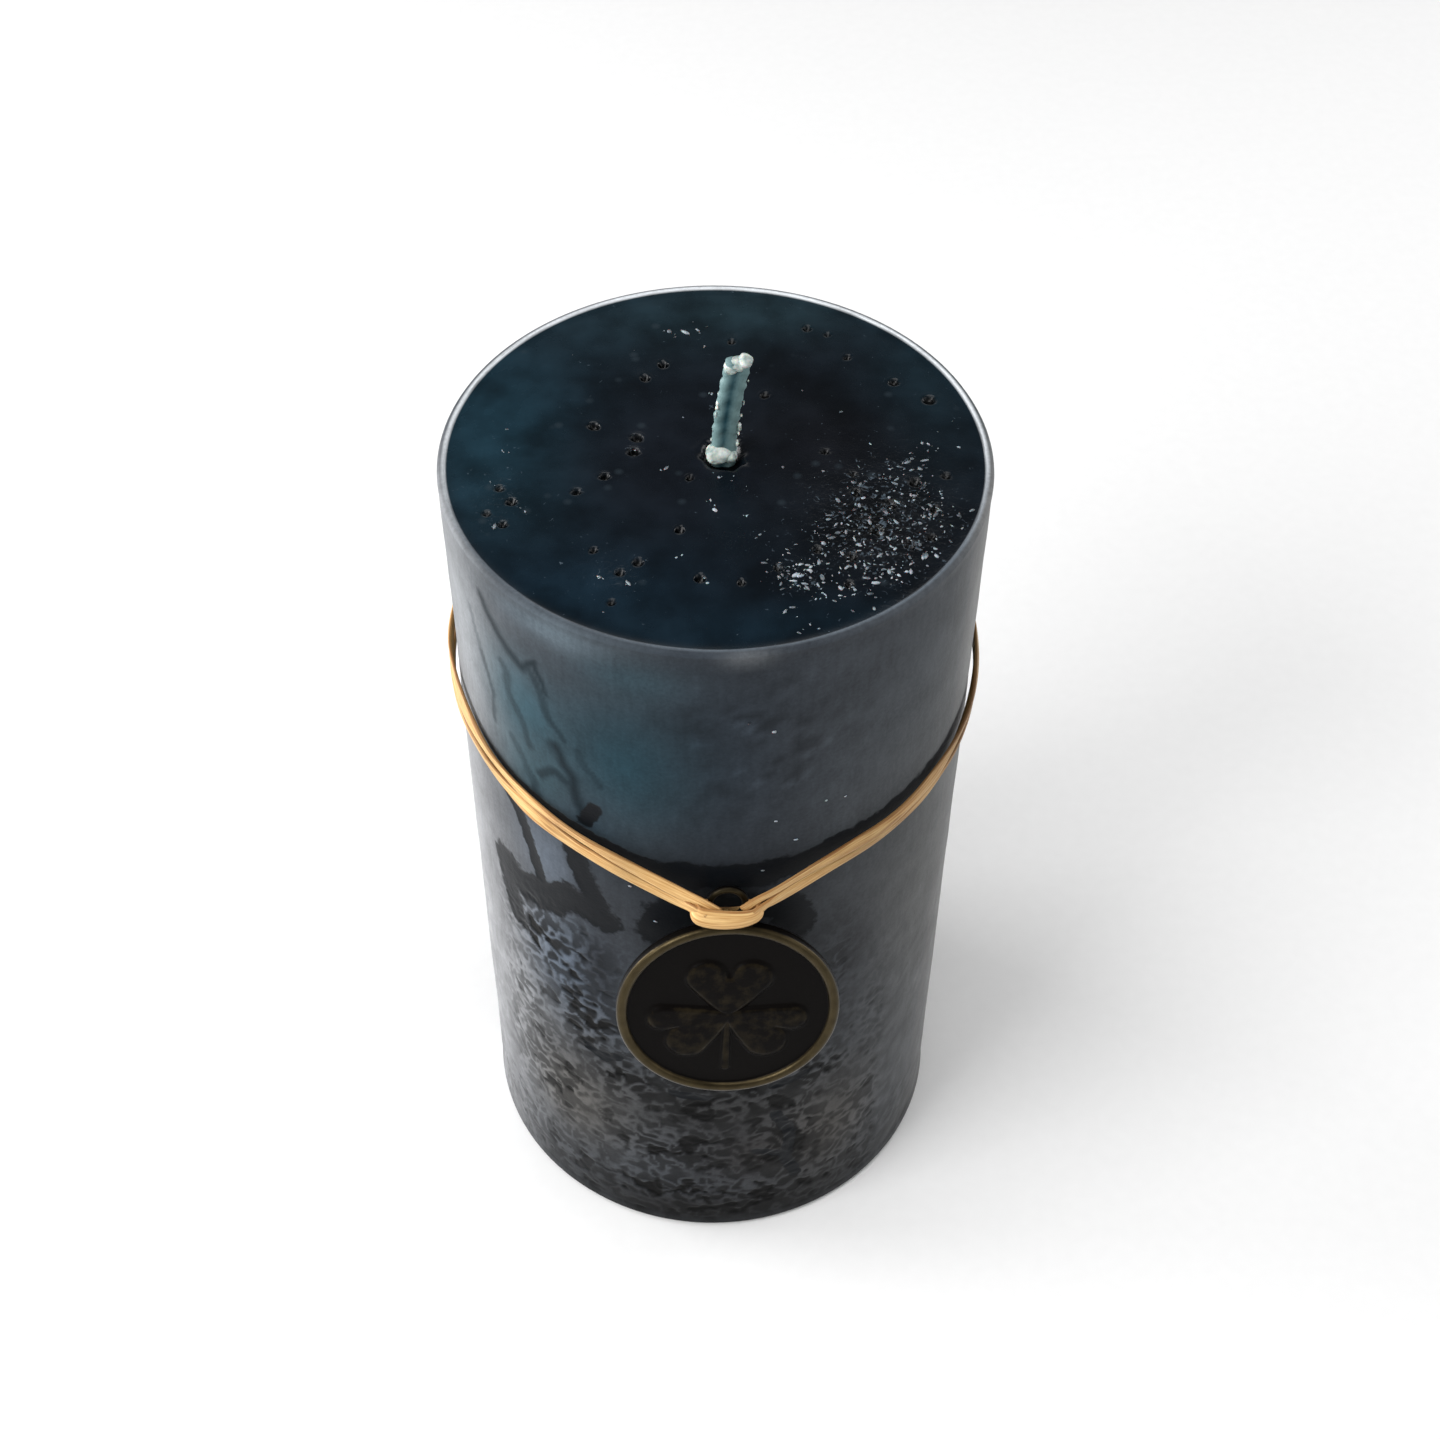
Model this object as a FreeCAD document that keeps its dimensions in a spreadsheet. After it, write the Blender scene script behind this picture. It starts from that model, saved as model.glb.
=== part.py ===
"""Pillar candle in one piece of wax, dressed with a raffia cord and a cast clover medal.

The candle stands on Z = 0 with its axis on Z. The medal hangs in front, towards -Y.
All sizes are in millimetres and live in the sheet "Sizes".
"""
import FreeCAD, Part
import math
import os

import Sketcher
from FreeCAD import Placement, Rotation, Vector

SIZES = {
    # wax
    "candle_diameter": 70.0,
    "candle_height": 130.0,
    "rim_round": 1.5,
    "base_round": 0.8,
    # wick, with the sheet-metal tab that anchors it
    "wick_diameter": 3.2,
    "wick_flat": 2.0,
    "wick_stub": 14.5,
    "wick_lean": 1.8,
    "wick_offset": 0.9,
    "wick_play": 0.1,
    "tab_diameter": 20.0,
    "tab_sheet": 0.3,
    "tab_neck_wall": 0.35,
    "tab_neck_height": 3.2,
    "tab_play": 0.25,
    "tab_recess": 1.2,
    # wax left on the wick by priming
    "foot_wax_diameter": 5.2,
    "foot_wax_height": 2.0,
    "foot_wax_play": 0.2,
    "tip_wax_height": 1.2,
    # raffia cord
    "ply_diameter": 1.6,
    "ply_gap": 0.3,
    "cord_gap": 0.3,
    "knot_width": 7.4,
    "knot_height": 6.4,
    "knot_depth": 3.2,
    "knot_level": 97.2,
    # cast medal, in its own plane: across, up and out of the face
    "medal_diameter": 30.0,
    "medal_thickness": 2.0,
    "medal_tilt": 12.0,
    "medal_level": 67.3,
    "medal_standoff": 5.4,
    "bead_width": 1.3,
    "back_round": 0.4,
    "relief_height": 0.45,
    "relief_round": 0.25,
    "clover_roll": 2.5,
    "bail_hole": 4.0,
    "bail_bar": 1.2,
    "bail_rise": 3.9,
    "bail_foot_width": 7.5,
    "bail_foot_thickness": 1.0,
    "bail_neck_width": 4.4,
    # hitch that ties the cord to the bail
    "hitch_width": 9.5,
    "hitch_height": 2.6,
    "hitch_thickness": 1.2,
    "hitch_drop": 1.4,
    "hitch_play": 0.3,
    "hitch_back": 0.65,
    "shoulder_height": 2.0,
    "shoulder_thickness": 1.0,
    "wrap_height": 1.2,
    # how far features of one piece run into each other, so that they join
    "overlap": 0.1,
    "hitch_round": 0.9,
}

# Where each strand of the cord runs: degrees round the candle from the front, height, and how far
# it stands off the wax beyond the cord gap. The points are the corners that the strand rounds.
LEFT_ROUTE = [
    (-8.8, 86.9, 0.8),
    (-16, 88.7, 0.1),
    (-25, 90.6, 0),
    (-36, 92.2, 0),
    (-48, 93.7, 0),
    (-61, 95.4, 0.1),
    (-76, 97.0, 0.2),
    (-92, 97.8, 0.1),
    (-109, 98.2, 0),
    (-127, 98.3, 0),
    (-145, 98.1, 0),
    (-162, 97.8, 0),
    (-178.4, 97.5, 0.2),
]
RIGHT_ROUTE = [
    (8.8, 86.8, 0.8),
    (15, 88.4, 0.1),
    (24, 90.2, 0),
    (35, 90.6, 0),
    (47, 91.9, 0),
    (60, 92.9, 0),
    (74, 94.9, 0.1),
    (90, 96.5, 0.1),
    (107, 97.5, 0),
    (125, 98.0, 0),
    (144, 98.0, 0),
    (162, 97.7, 0),
    (178.4, 97.5, 0.2),
]
# How far each ply runs above or below the route at each of its points, in ply spacings.
LEFT_SPREAD = [0.5, 0.52, 0.53, 0.53, 0.5, 0.6, 0.95, 0.75, 0.52, 0.5, 0.5, 0.5, 0.5]
RIGHT_SPREAD = [0.5, 0.52, 0.5, 0.5, 0.5, 0.5, 0.5, 0.5, 0.5, 0.5, 0.5, 0.5, 0.5]
LEFT_TAIL_ROUTE = [(-178.2, 97.9, 0.5), (-174.5, 95.4, 0.9), (-168.5, 92.6, 1.2), (-160.5, 91.2, 1.0)]
RIGHT_TAIL_ROUTE = [(178.2, 97.9, 0.5), (175.5, 94.8, 0.8), (172.5, 90.6, 1.2), (167.0, 87.4, 0.9)]
TAIL_SPREAD = [-1.6, -1.6, -1.6, -1.6]

# The clover's leaves: tip, first lobe (centre and radius), second lobe, each going anticlockwise.
LEAVES = {
    "top_leaf": ((0, -0.4), (3.0, 5.85, 3.05), (-3.0, 5.85, 3.05)),
    "left_leaf": ((0.2, -0.6), (-8.65, -1.3, 2.4), (-5.2, -5.2, 3.3)),
    "right_leaf": ((-0.2, -0.6), (5.2, -5.2, 3.3), (8.65, -1.3, 2.4)),
}
STEM = [(-0.6, -1.0), (-0.85, -10.7), (0.85, -10.7), (0.6, -1.0)]

PLANES = {"across": "XY_Plane", "upright": "XZ_Plane", "side": "YZ_Plane"}

doc = FreeCAD.newDocument("pillar_candle")
sheet = doc.addObject("Spreadsheet::Sheet", "Sizes")


def fill_sheet():
    """Write every size into the sheet as plain text beside its alias."""
    for row, (alias, number) in enumerate(SIZES.items(), start=1):
        sheet.set(f"A{row}", alias)
        sheet.set(f"B{row}", str(number))
        sheet.setAlias(f"B{row}", alias)
    doc.recompute()


def size(expression):
    """The present value of an expression on the sheet."""
    result = sheet.evalExpression(expression)
    return float(getattr(result, "Value", result))


def new_body(label):
    """A PartDesign body whose label is the sub-part's name."""
    body = doc.addObject("PartDesign::Body", label)
    body.Label = label
    return body


def new_sketch(body, name, plane, level="0", shift="0", roll="0"):
    """A sketch on one of the body's own origin planes, raised by level and moved sideways by shift."""
    sketch = body.newObject("Sketcher::SketchObject", name)
    support = [item for item in body.Origin.OriginFeatures if item.Role == PLANES[plane]]
    sketch.AttachmentSupport = (support[0], [""])
    sketch.MapMode = "FlatFace"
    sketch.AttachmentOffset = Placement(Vector(), Rotation(Vector(0, 0, 1), 0))
    sketch.setExpression("AttachmentOffset.Base.x", shift)
    sketch.setExpression("AttachmentOffset.Base.z", level)
    sketch.setExpression("AttachmentOffset.Rotation.Angle", roll)
    return sketch


def bind(sketch, constraint, expression):
    """Add a constraint whose value follows the sheet."""
    index = sketch.addConstraint(constraint)
    sketch.renameConstraint(index, f"c{index}")
    sketch.setExpression(f"Constraints.c{index}", expression)


def pin(sketch, item, end, across, up):
    """Hold one point of a sketch item at a place that follows the sheet."""
    origin = (-1, 1)
    bind(sketch, Sketcher.Constraint("DistanceX", *origin, item, end, size(across)), across)
    bind(sketch, Sketcher.Constraint("DistanceY", *origin, item, end, size(up)), up)


def polygon(sketch, corners):
    """A closed outline of straight sides, each corner held at its place."""
    points = [Vector(size(x), size(y), 0) for x, y in corners]
    for here, there in zip(points, points[1:] + points[:1]):
        sketch.addGeometry(Part.LineSegment(here, there))
    count = len(corners)
    for side in range(count):
        sketch.addConstraint(Sketcher.Constraint("Coincident", side, 2, (side + 1) % count, 1))
    for side, (x, y) in enumerate(corners):
        pin(sketch, side, 1, x, y)
    return sketch


def rectangle(sketch, left, right, low, high):
    """A closed outline of four square corners."""
    return polygon(sketch, [(left, low), (right, low), (right, high), (left, high)])


def circle(sketch, diameter, across="0", up="0"):
    """A circle about a point that follows the sheet."""
    centre = Vector(size(across), size(up), 0)
    item = sketch.addGeometry(Part.Circle(centre, Vector(0, 0, 1), size(diameter) / 2))
    pin(sketch, item, 3, across, up)
    bind(sketch, Sketcher.Constraint("Diameter", item, size(diameter)), diameter)
    return sketch


def heart(sketch, tip, first, second):
    """A heart of two tangent sides from the tip and two lobes that meet in a notch."""
    point = Vector(*tip, 0)

    def touch(lobe, turn):
        """Angle from the lobe's centre to where the side from the tip touches it."""
        away = Vector(lobe[0], lobe[1], 0) - point
        heading = math.atan2(away.y, away.x)
        return heading + turn * (math.pi / 2 + math.asin(lobe[2] / away.Length))

    def on(lobe, angle):
        return Vector(lobe[0] + lobe[2] * math.cos(angle), lobe[1] + lobe[2] * math.sin(angle), 0)

    def toward(lobe, place):
        return math.atan2(place.y - lobe[1], place.x - lobe[0])

    gap = math.dist(first[:2], second[:2])
    along = (gap**2 + first[2] ** 2 - second[2] ** 2) / (2 * gap)
    rise = math.sqrt(first[2] ** 2 - along**2)
    step = (Vector(second[0], second[1], 0) - Vector(first[0], first[1], 0)) / gap
    outward = Vector(step.y, -step.x, 0)
    notch = Vector(first[0], first[1], 0) + step * along + outward * rise
    start = touch(first, -1)
    end = touch(second, 1)
    lobes = []
    for lobe, angles in ((first, (start, toward(first, notch))), (second, (toward(second, notch), end))):
        low, high = angles
        while high < low:
            high += 2 * math.pi
        ring = Part.Circle(Vector(lobe[0], lobe[1], 0), Vector(0, 0, 1), lobe[2])
        lobes.append(Part.ArcOfCircle(ring, low, high))
    sketch.addGeometry(Part.LineSegment(point, on(first, start)))
    sketch.addGeometry(lobes)
    sketch.addGeometry(Part.LineSegment(on(second, end), point))
    sketch.addConstraint(
        [
            Sketcher.Constraint("Tangent", 0, 2, 1, 1),
            Sketcher.Constraint("Coincident", 1, 2, 2, 1),
            Sketcher.Constraint("Tangent", 2, 2, 3, 1),
            Sketcher.Constraint("Coincident", 3, 2, 0, 1),
        ]
    )
    pin(sketch, 0, 1, str(tip[0]), str(tip[1]))
    for item, lobe in ((1, first), (2, second)):
        pin(sketch, item, 3, str(lobe[0]), str(lobe[1]))
        bind(sketch, Sketcher.Constraint("Radius", item, lobe[2]), str(lobe[2]))
    return sketch


def pad(body, name, sketch, length, both_ways=False):
    """Raise a sketch into the solid."""
    feature = body.newObject("PartDesign::Pad", name)
    feature.Profile = sketch
    feature.setExpression("Length", length)
    feature.Midplane = both_ways
    return feature


def pocket(body, name, sketch, depth):
    """Cut a sketch upwards into the solid, from its own level."""
    doc.recompute()
    before = body.Shape.Volume
    feature = body.newObject("PartDesign::Pocket", name)
    feature.Profile = sketch
    feature.Reversed = True
    feature.setExpression("Length", depth)
    doc.recompute()
    if body.Shape.Volume >= before:
        raise ValueError(f"{name} cuts nothing")
    return feature


def revolve(body, name, sketch):
    """Turn a sketch right round its own upright axis."""
    feature = body.newObject("PartDesign::Revolution", name)
    feature.Profile = sketch
    feature.ReferenceAxis = (sketch, ["V_Axis"])
    feature.Angle = 360
    return feature


def round_edges(body, name, radius, wanted):
    """Fillet every edge of the body's present shape that the test accepts."""
    doc.recompute()
    base = body.Tip
    edges = [f"Edge{i}" for i, edge in enumerate(base.Shape.Edges, start=1) if wanted(edge)]
    if not edges:
        raise ValueError(f"{name} finds no edge")
    feature = body.newObject("PartDesign::Fillet", name)
    feature.Base = (base, edges)
    feature.setExpression("Radius", radius)
    return feature


NECK_BORE = "(Sizes.wick_diameter + 2 * Sizes.wick_play)"
NECK_DIAMETER = f"({NECK_BORE} + 2 * Sizes.tab_neck_wall)"
TAB_UNDERSIDE = "(Sizes.tab_recess - Sizes.tab_sheet)"
NECK_TOP = "(Sizes.tab_recess + Sizes.tab_neck_height)"


def wax_body():
    """One poured cylinder with a rounded rim, a wick hole, and a recess below for the wick's tab."""
    body = new_body("wax_body")
    outline = circle(new_sketch(body, "wax_outline", "across"), "Sizes.candle_diameter")
    pad(body, "wax_cylinder", outline, "Sizes.candle_height")
    top = size("Sizes.candle_height")
    round_edges(body, "wax_rim", "Sizes.rim_round", lambda edge: abs(edge.BoundBox.ZMin - top) < 0.01)
    round_edges(body, "wax_base", "Sizes.base_round", lambda edge: edge.BoundBox.ZMax < 0.01)
    recess = circle(
        new_sketch(body, "tab_recess_outline", "across"),
        "Sizes.tab_diameter + 2 * Sizes.tab_play",
        "Sizes.wick_offset",
    )
    pocket(body, "tab_recess_cut", recess, "Sizes.tab_recess")
    seat = circle(
        new_sketch(body, "neck_hole_outline", "across"),
        f"{NECK_DIAMETER} + 2 * Sizes.wick_play",
        "Sizes.wick_offset",
    )
    pocket(body, "neck_hole", seat, f"{NECK_TOP} + Sizes.tab_play")
    bore = circle(
        new_sketch(body, "wick_hole_outline", "across"),
        "Sizes.wick_diameter + 2 * Sizes.wick_play",
        "Sizes.wick_offset",
    )
    pocket(body, "wick_hole", bore, "Sizes.candle_height")
    return body


def wick_sustainer():
    """Pressed tin-plate tab: a flat disc with a short neck crimped round the wick."""
    body = new_body("wick_sustainer")
    disc = circle(
        new_sketch(body, "tab_outline", "across", TAB_UNDERSIDE), "Sizes.tab_diameter", "Sizes.wick_offset"
    )
    pad(body, "tab_disc", disc, "Sizes.tab_sheet")
    neck = circle(
        new_sketch(body, "neck_outline", "across", TAB_UNDERSIDE), NECK_DIAMETER, "Sizes.wick_offset"
    )
    pad(body, "tab_neck", neck, "Sizes.tab_sheet + Sizes.tab_neck_height")
    bore = circle(new_sketch(body, "neck_bore_outline", "across"), NECK_BORE, "Sizes.wick_offset")
    pocket(body, "neck_bore", bore, f"{NECK_TOP} + Sizes.overlap")
    return body


def braid_section(body, name, level, lean):
    """The flat braid's eight-sided section at one height of the stub."""
    middle = f"(Sizes.wick_offset + {lean} * Sizes.wick_lean)"
    wide = "Sizes.wick_diameter / 2"
    thin = "Sizes.wick_flat / 2"
    corners = []
    for x, y in ((1, 0.5), (0.6, 1), (-0.6, 1), (-1, 0.5), (-1, -0.5), (-0.6, -1), (0.6, -1), (1, -0.5)):
        corners.append((f"{middle} + {x} * {wide}", f"{y} * {thin}"))
    return polygon(new_sketch(body, name, "across", level), corners)


def wick_braid():
    """Flat cotton braid, pressed round inside the wax and flat where it stands above it, leaning."""
    body = new_body("wick_braid")
    outline = new_sketch(body, "buried_outline", "across", TAB_UNDERSIDE)
    buried = circle(outline, "Sizes.wick_diameter", "Sizes.wick_offset")
    pad(body, "wick_buried", buried, f"Sizes.candle_height - {TAB_UNDERSIDE}")
    foot = braid_section(body, "stub_foot", "Sizes.candle_height - Sizes.overlap", 0)
    middle = braid_section(body, "stub_middle", "Sizes.candle_height + 0.5 * Sizes.wick_stub", 0.35)
    tip = braid_section(body, "stub_tip", "Sizes.candle_height + Sizes.wick_stub", 1)
    doc.recompute()
    stub = body.newObject("PartDesign::AdditiveLoft", "wick_stub_above")
    stub.Profile = foot
    stub.Sections = [middle, tip]
    return body


def wick_foot_wax():
    """Collar of pale wax that set round the wick where it leaves the top."""
    body = new_body("wick_foot_wax")
    inner = "Sizes.wick_diameter / 2 + Sizes.foot_wax_play"
    outer = "Sizes.foot_wax_diameter / 2"
    low = "Sizes.candle_height"
    high = "Sizes.candle_height + Sizes.foot_wax_height"
    profile = polygon(
        new_sketch(body, "foot_wax_profile", "upright", shift="Sizes.wick_offset"),
        [
            (inner, low),
            (outer, low),
            (f"{outer} - 0.3", f"({low} + {high}) / 2"),
            (f"{inner} + 0.2", high),
            (inner, high),
        ],
    )
    revolve(body, "foot_wax_ring", profile)
    return body


def wick_tip_wax():
    """Bead of pale wax on the trimmed end of the wick."""
    body = new_body("wick_tip_wax")
    low = "Sizes.candle_height + Sizes.wick_stub"
    half = "Sizes.wick_flat / 2"
    profile = polygon(
        new_sketch(body, "tip_wax_profile", "upright", shift="Sizes.wick_offset + Sizes.wick_lean"),
        [
            ("0", low),
            (f"{half} + 0.2", low),
            (f"{half} + 0.3", f"{low} + 0.4 * Sizes.tip_wax_height"),
            (f"{half} - 0.3", f"{low} + Sizes.tip_wax_height"),
            ("0", f"{low} + Sizes.tip_wax_height"),
        ],
    )
    revolve(body, "tip_wax_bead", profile)
    return body


def route_points(route, spread):
    """Corner points of a strand in the candle's frame. Chords between them stay clear of the wax."""
    ply = size("Sizes.ply_diameter")
    radius = size("Sizes.candle_diameter / 2 + Sizes.cord_gap") + ply / 2
    spans = [abs(b[0] - a[0]) for a, b in zip(route, route[1:])]
    outside = 1 / math.cos(math.radians(max(spans) / 2))
    points = []
    for index, (degrees, level, standoff) in enumerate(route):
        reach = radius * outside + standoff
        lift = spread[index] * (ply + size("Sizes.ply_gap"))
        turn = math.radians(degrees)
        points.append(Vector(reach * math.sin(turn), -reach * math.cos(turn), level + lift))
    return points


def rounded_wire(points):
    """Straight runs joined by tangent arcs, each as large as its two runs allow."""
    edges = []
    start = points[0]
    radii = []
    for before, corner, after in zip(points, points[1:], points[2:]):
        back = (before - corner).normalize()
        ahead = (after - corner).normalize()
        half_turn = (math.pi - back.getAngle(ahead)) / 2
        cut = 0.45 * min((corner - before).Length, (after - corner).Length)
        radii.append(cut / math.tan(half_turn))
        enter = corner + back * cut
        leave = corner + ahead * cut
        sagitta = radii[-1] * (1 / math.cos(half_turn) - 1)
        middle = corner + (back + ahead).normalize() * sagitta
        edges.append(Part.LineSegment(start, enter).toShape())
        edges.append(Part.Arc(enter, middle, leave).toShape())
        start = leave
    edges.append(Part.LineSegment(start, points[-1]).toShape())
    return Part.Wire(edges), radii


def strand(label, route, spread):
    """One ply of raffia: a round section swept along its route."""
    points = route_points(route, spread)
    wire, radii = rounded_wire(points)
    path = doc.addObject("Part::Feature", f"{label}_path")
    path.Shape = wire
    section = doc.addObject("Part::Circle", f"{label}_section")
    section.setExpression("Radius", "Sizes.ply_diameter / 2")
    section.Placement = Placement(points[0], Rotation(Vector(0, 0, 1), points[1] - points[0]))
    sweep = doc.addObject("Part::Sweep", label)
    sweep.Label = label
    sweep.Sections = [section]
    sweep.Spine = (path, [f"Edge{i + 1}" for i in range(len(wire.Edges))])
    sweep.Solid = True
    sweep.Frenet = False
    doc.recompute()
    area = math.pi * size("Sizes.ply_diameter") ** 2 / 4
    print(
        f"{label}: {wire.Length:.1f} mm long, radii {min(radii):.0f} to {max(radii):.0f} mm,"
        f" volume {sweep.Shape.Volume:.1f} of {area * wire.Length:.1f} mm3"
    )
    return sweep


def cord_strands():
    """Two plies each way round the candle, from the hitch in front to the knot behind."""
    below = {"left": [-share for share in LEFT_SPREAD], "right": [-share for share in RIGHT_SPREAD]}
    return [
        strand("cord_left_upper", LEFT_ROUTE, LEFT_SPREAD),
        strand("cord_left_lower", LEFT_ROUTE, below["left"]),
        strand("cord_right_upper", RIGHT_ROUTE, RIGHT_SPREAD),
        strand("cord_right_lower", RIGHT_ROUTE, below["right"]),
        strand("cord_tail_left", LEFT_TAIL_ROUTE, TAIL_SPREAD),
        strand("cord_tail_right", RIGHT_TAIL_ROUTE, TAIL_SPREAD),
    ]


def cord_back_knot():
    """Pulled-tight knot that closes the cord behind the candle."""
    knot = doc.addObject("Part::Ellipsoid", "cord_back_knot")
    knot.Label = "cord_back_knot"
    knot.setExpression("Radius1", "Sizes.knot_height / 2")
    knot.setExpression("Radius2", "Sizes.knot_width / 2")
    knot.setExpression("Radius3", "Sizes.knot_depth / 2")
    knot.setExpression("Placement.Base.y", "(Sizes.candle_diameter + Sizes.knot_depth) / 2 + Sizes.cord_gap")
    knot.setExpression("Placement.Base.z", "Sizes.knot_level")
    return knot


# The medal's own frame has its origin at the disc's centre, X across, Y up the disc and Z out of
# its face. The hitch is made in the same frame.
FACE = "(Sizes.medal_thickness / 2)"
BEAD = "(Sizes.bead_width / 2)"
FIELD = f"({FACE} - {BEAD})"
BAIL_CENTRE = "(Sizes.medal_diameter / 2 + Sizes.bail_rise)"
RING_RADIUS = "((Sizes.bail_hole + Sizes.bail_bar) / 2)"


def hang(body):
    """Place a piece made in the medal's frame: tilted, with its top towards the wax."""
    body.Placement = Placement(Vector(), Rotation(Vector(1, 0, 0), 90))
    body.setExpression("Placement.Base.y", "-(Sizes.candle_diameter / 2 + Sizes.medal_standoff)")
    body.setExpression("Placement.Base.z", "Sizes.medal_level")
    body.setExpression("Placement.Rotation.Angle", "90 - Sizes.medal_tilt")


def medal_blank(body):
    """Round blank with a half-round bead about a sunken field."""
    sketch = new_sketch(body, "blank_profile", "upright")
    radius = "Sizes.medal_diameter / 2"
    corners = [
        ("0", f"-{FACE}"),
        (radius, f"-{FACE}"),
        (radius, FIELD),
        (f"{radius} - Sizes.bead_width", FIELD),
        ("0", FIELD),
    ]
    points = [Vector(size(x), size(y), 0) for x, y in corners]
    centre = Vector(size(f"{radius} - {BEAD}"), size(FIELD), 0)
    sketch.addGeometry(Part.LineSegment(points[0], points[1]))
    sketch.addGeometry(Part.LineSegment(points[1], points[2]))
    ring = Part.Circle(centre, Vector(0, 0, 1), size(BEAD))
    sketch.addGeometry(Part.ArcOfCircle(ring, 0, math.pi))
    sketch.addGeometry(Part.LineSegment(points[3], points[4]))
    sketch.addGeometry(Part.LineSegment(points[4], points[0]))
    for item in range(5):
        sketch.addConstraint(Sketcher.Constraint("Coincident", item, 2, (item + 1) % 5, 1))
    for item in (0, 1, 2, 4):
        pin(sketch, item, 1, *corners[item])
    pin(sketch, 2, 3, f"{radius} - {BEAD}", FIELD)
    bind(sketch, Sketcher.Constraint("DistanceY", -1, 1, 3, 1, size(FIELD)), FIELD)
    revolve(body, "medal_blank", sketch)
    lowest = size(f"-{FACE}")
    round_edges(body, "medal_back_edge", "Sizes.back_round", lambda edge: edge.BoundBox.ZMax < lowest + 0.01)


def medal_relief(body):
    """Clover of three heart leaves and a stem, raised on the field."""
    roll = "-Sizes.clover_roll"
    sunk = f"{FIELD} - Sizes.overlap"
    rise = "Sizes.relief_height + Sizes.overlap"
    for name, (tip, first, second) in LEAVES.items():
        sketch = new_sketch(body, f"{name}_outline", "across", sunk, roll=roll)
        pad(body, name, heart(sketch, tip, first, second), rise)
    stem = new_sketch(body, "stem_outline", "across", sunk, roll=roll)
    pad(body, "stem", polygon(stem, [(str(x), str(y)) for x, y in STEM]), rise)
    crest = size(f"{FIELD} + Sizes.relief_height")
    round_edges(
        body,
        "relief_edge",
        "Sizes.relief_round",
        lambda edge: edge.BoundBox.ZMin > crest - 0.01 and edge.BoundBox.ZMax < crest + 0.01,
    )


def medal_bail(body):
    """Ring on a flared foot above the disc, for the cord."""
    half_foot = "Sizes.bail_foot_width / 2"
    half_neck = "Sizes.bail_neck_width / 2"
    edge = "Sizes.medal_diameter / 2"
    neck_top = f"{BAIL_CENTRE} - {RING_RADIUS} + Sizes.bail_bar / 4"
    foot = polygon(
        new_sketch(body, "bail_foot_outline", "across"),
        [
            (f"-{half_foot}", f"{edge} - Sizes.bead_width"),
            (half_foot, f"{edge} - Sizes.bead_width"),
            (half_foot, edge),
            (half_neck, neck_top),
            (f"-{half_neck}", neck_top),
            (f"-{half_foot}", edge),
        ],
    )
    pad(body, "bail_foot", foot, "Sizes.bail_foot_thickness", both_ways=True)
    doc.recompute()
    section = new_sketch(body, "bail_section", "side")
    circle(section, "Sizes.bail_bar", f"{BAIL_CENTRE} + {RING_RADIUS}", "0")
    axis = new_sketch(body, "bail_axis", "side")
    axis.addGeometry(Part.LineSegment(Vector(size(BAIL_CENTRE), 0, 0), Vector(size(BAIL_CENTRE), 5, 0)))
    pin(axis, 0, 1, BAIL_CENTRE, "0")
    pin(axis, 0, 2, BAIL_CENTRE, "5")
    ring = body.newObject("PartDesign::Revolution", "bail_ring")
    ring.Profile = section
    ring.ReferenceAxis = (axis, ["Edge1"])
    ring.Angle = 360


def medal():
    """Zinc casting with a bronze finish: blank, clover and bail in one piece."""
    body = new_body("medal")
    medal_blank(body)
    medal_relief(body)
    medal_bail(body)
    hang(body)
    return body


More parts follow.
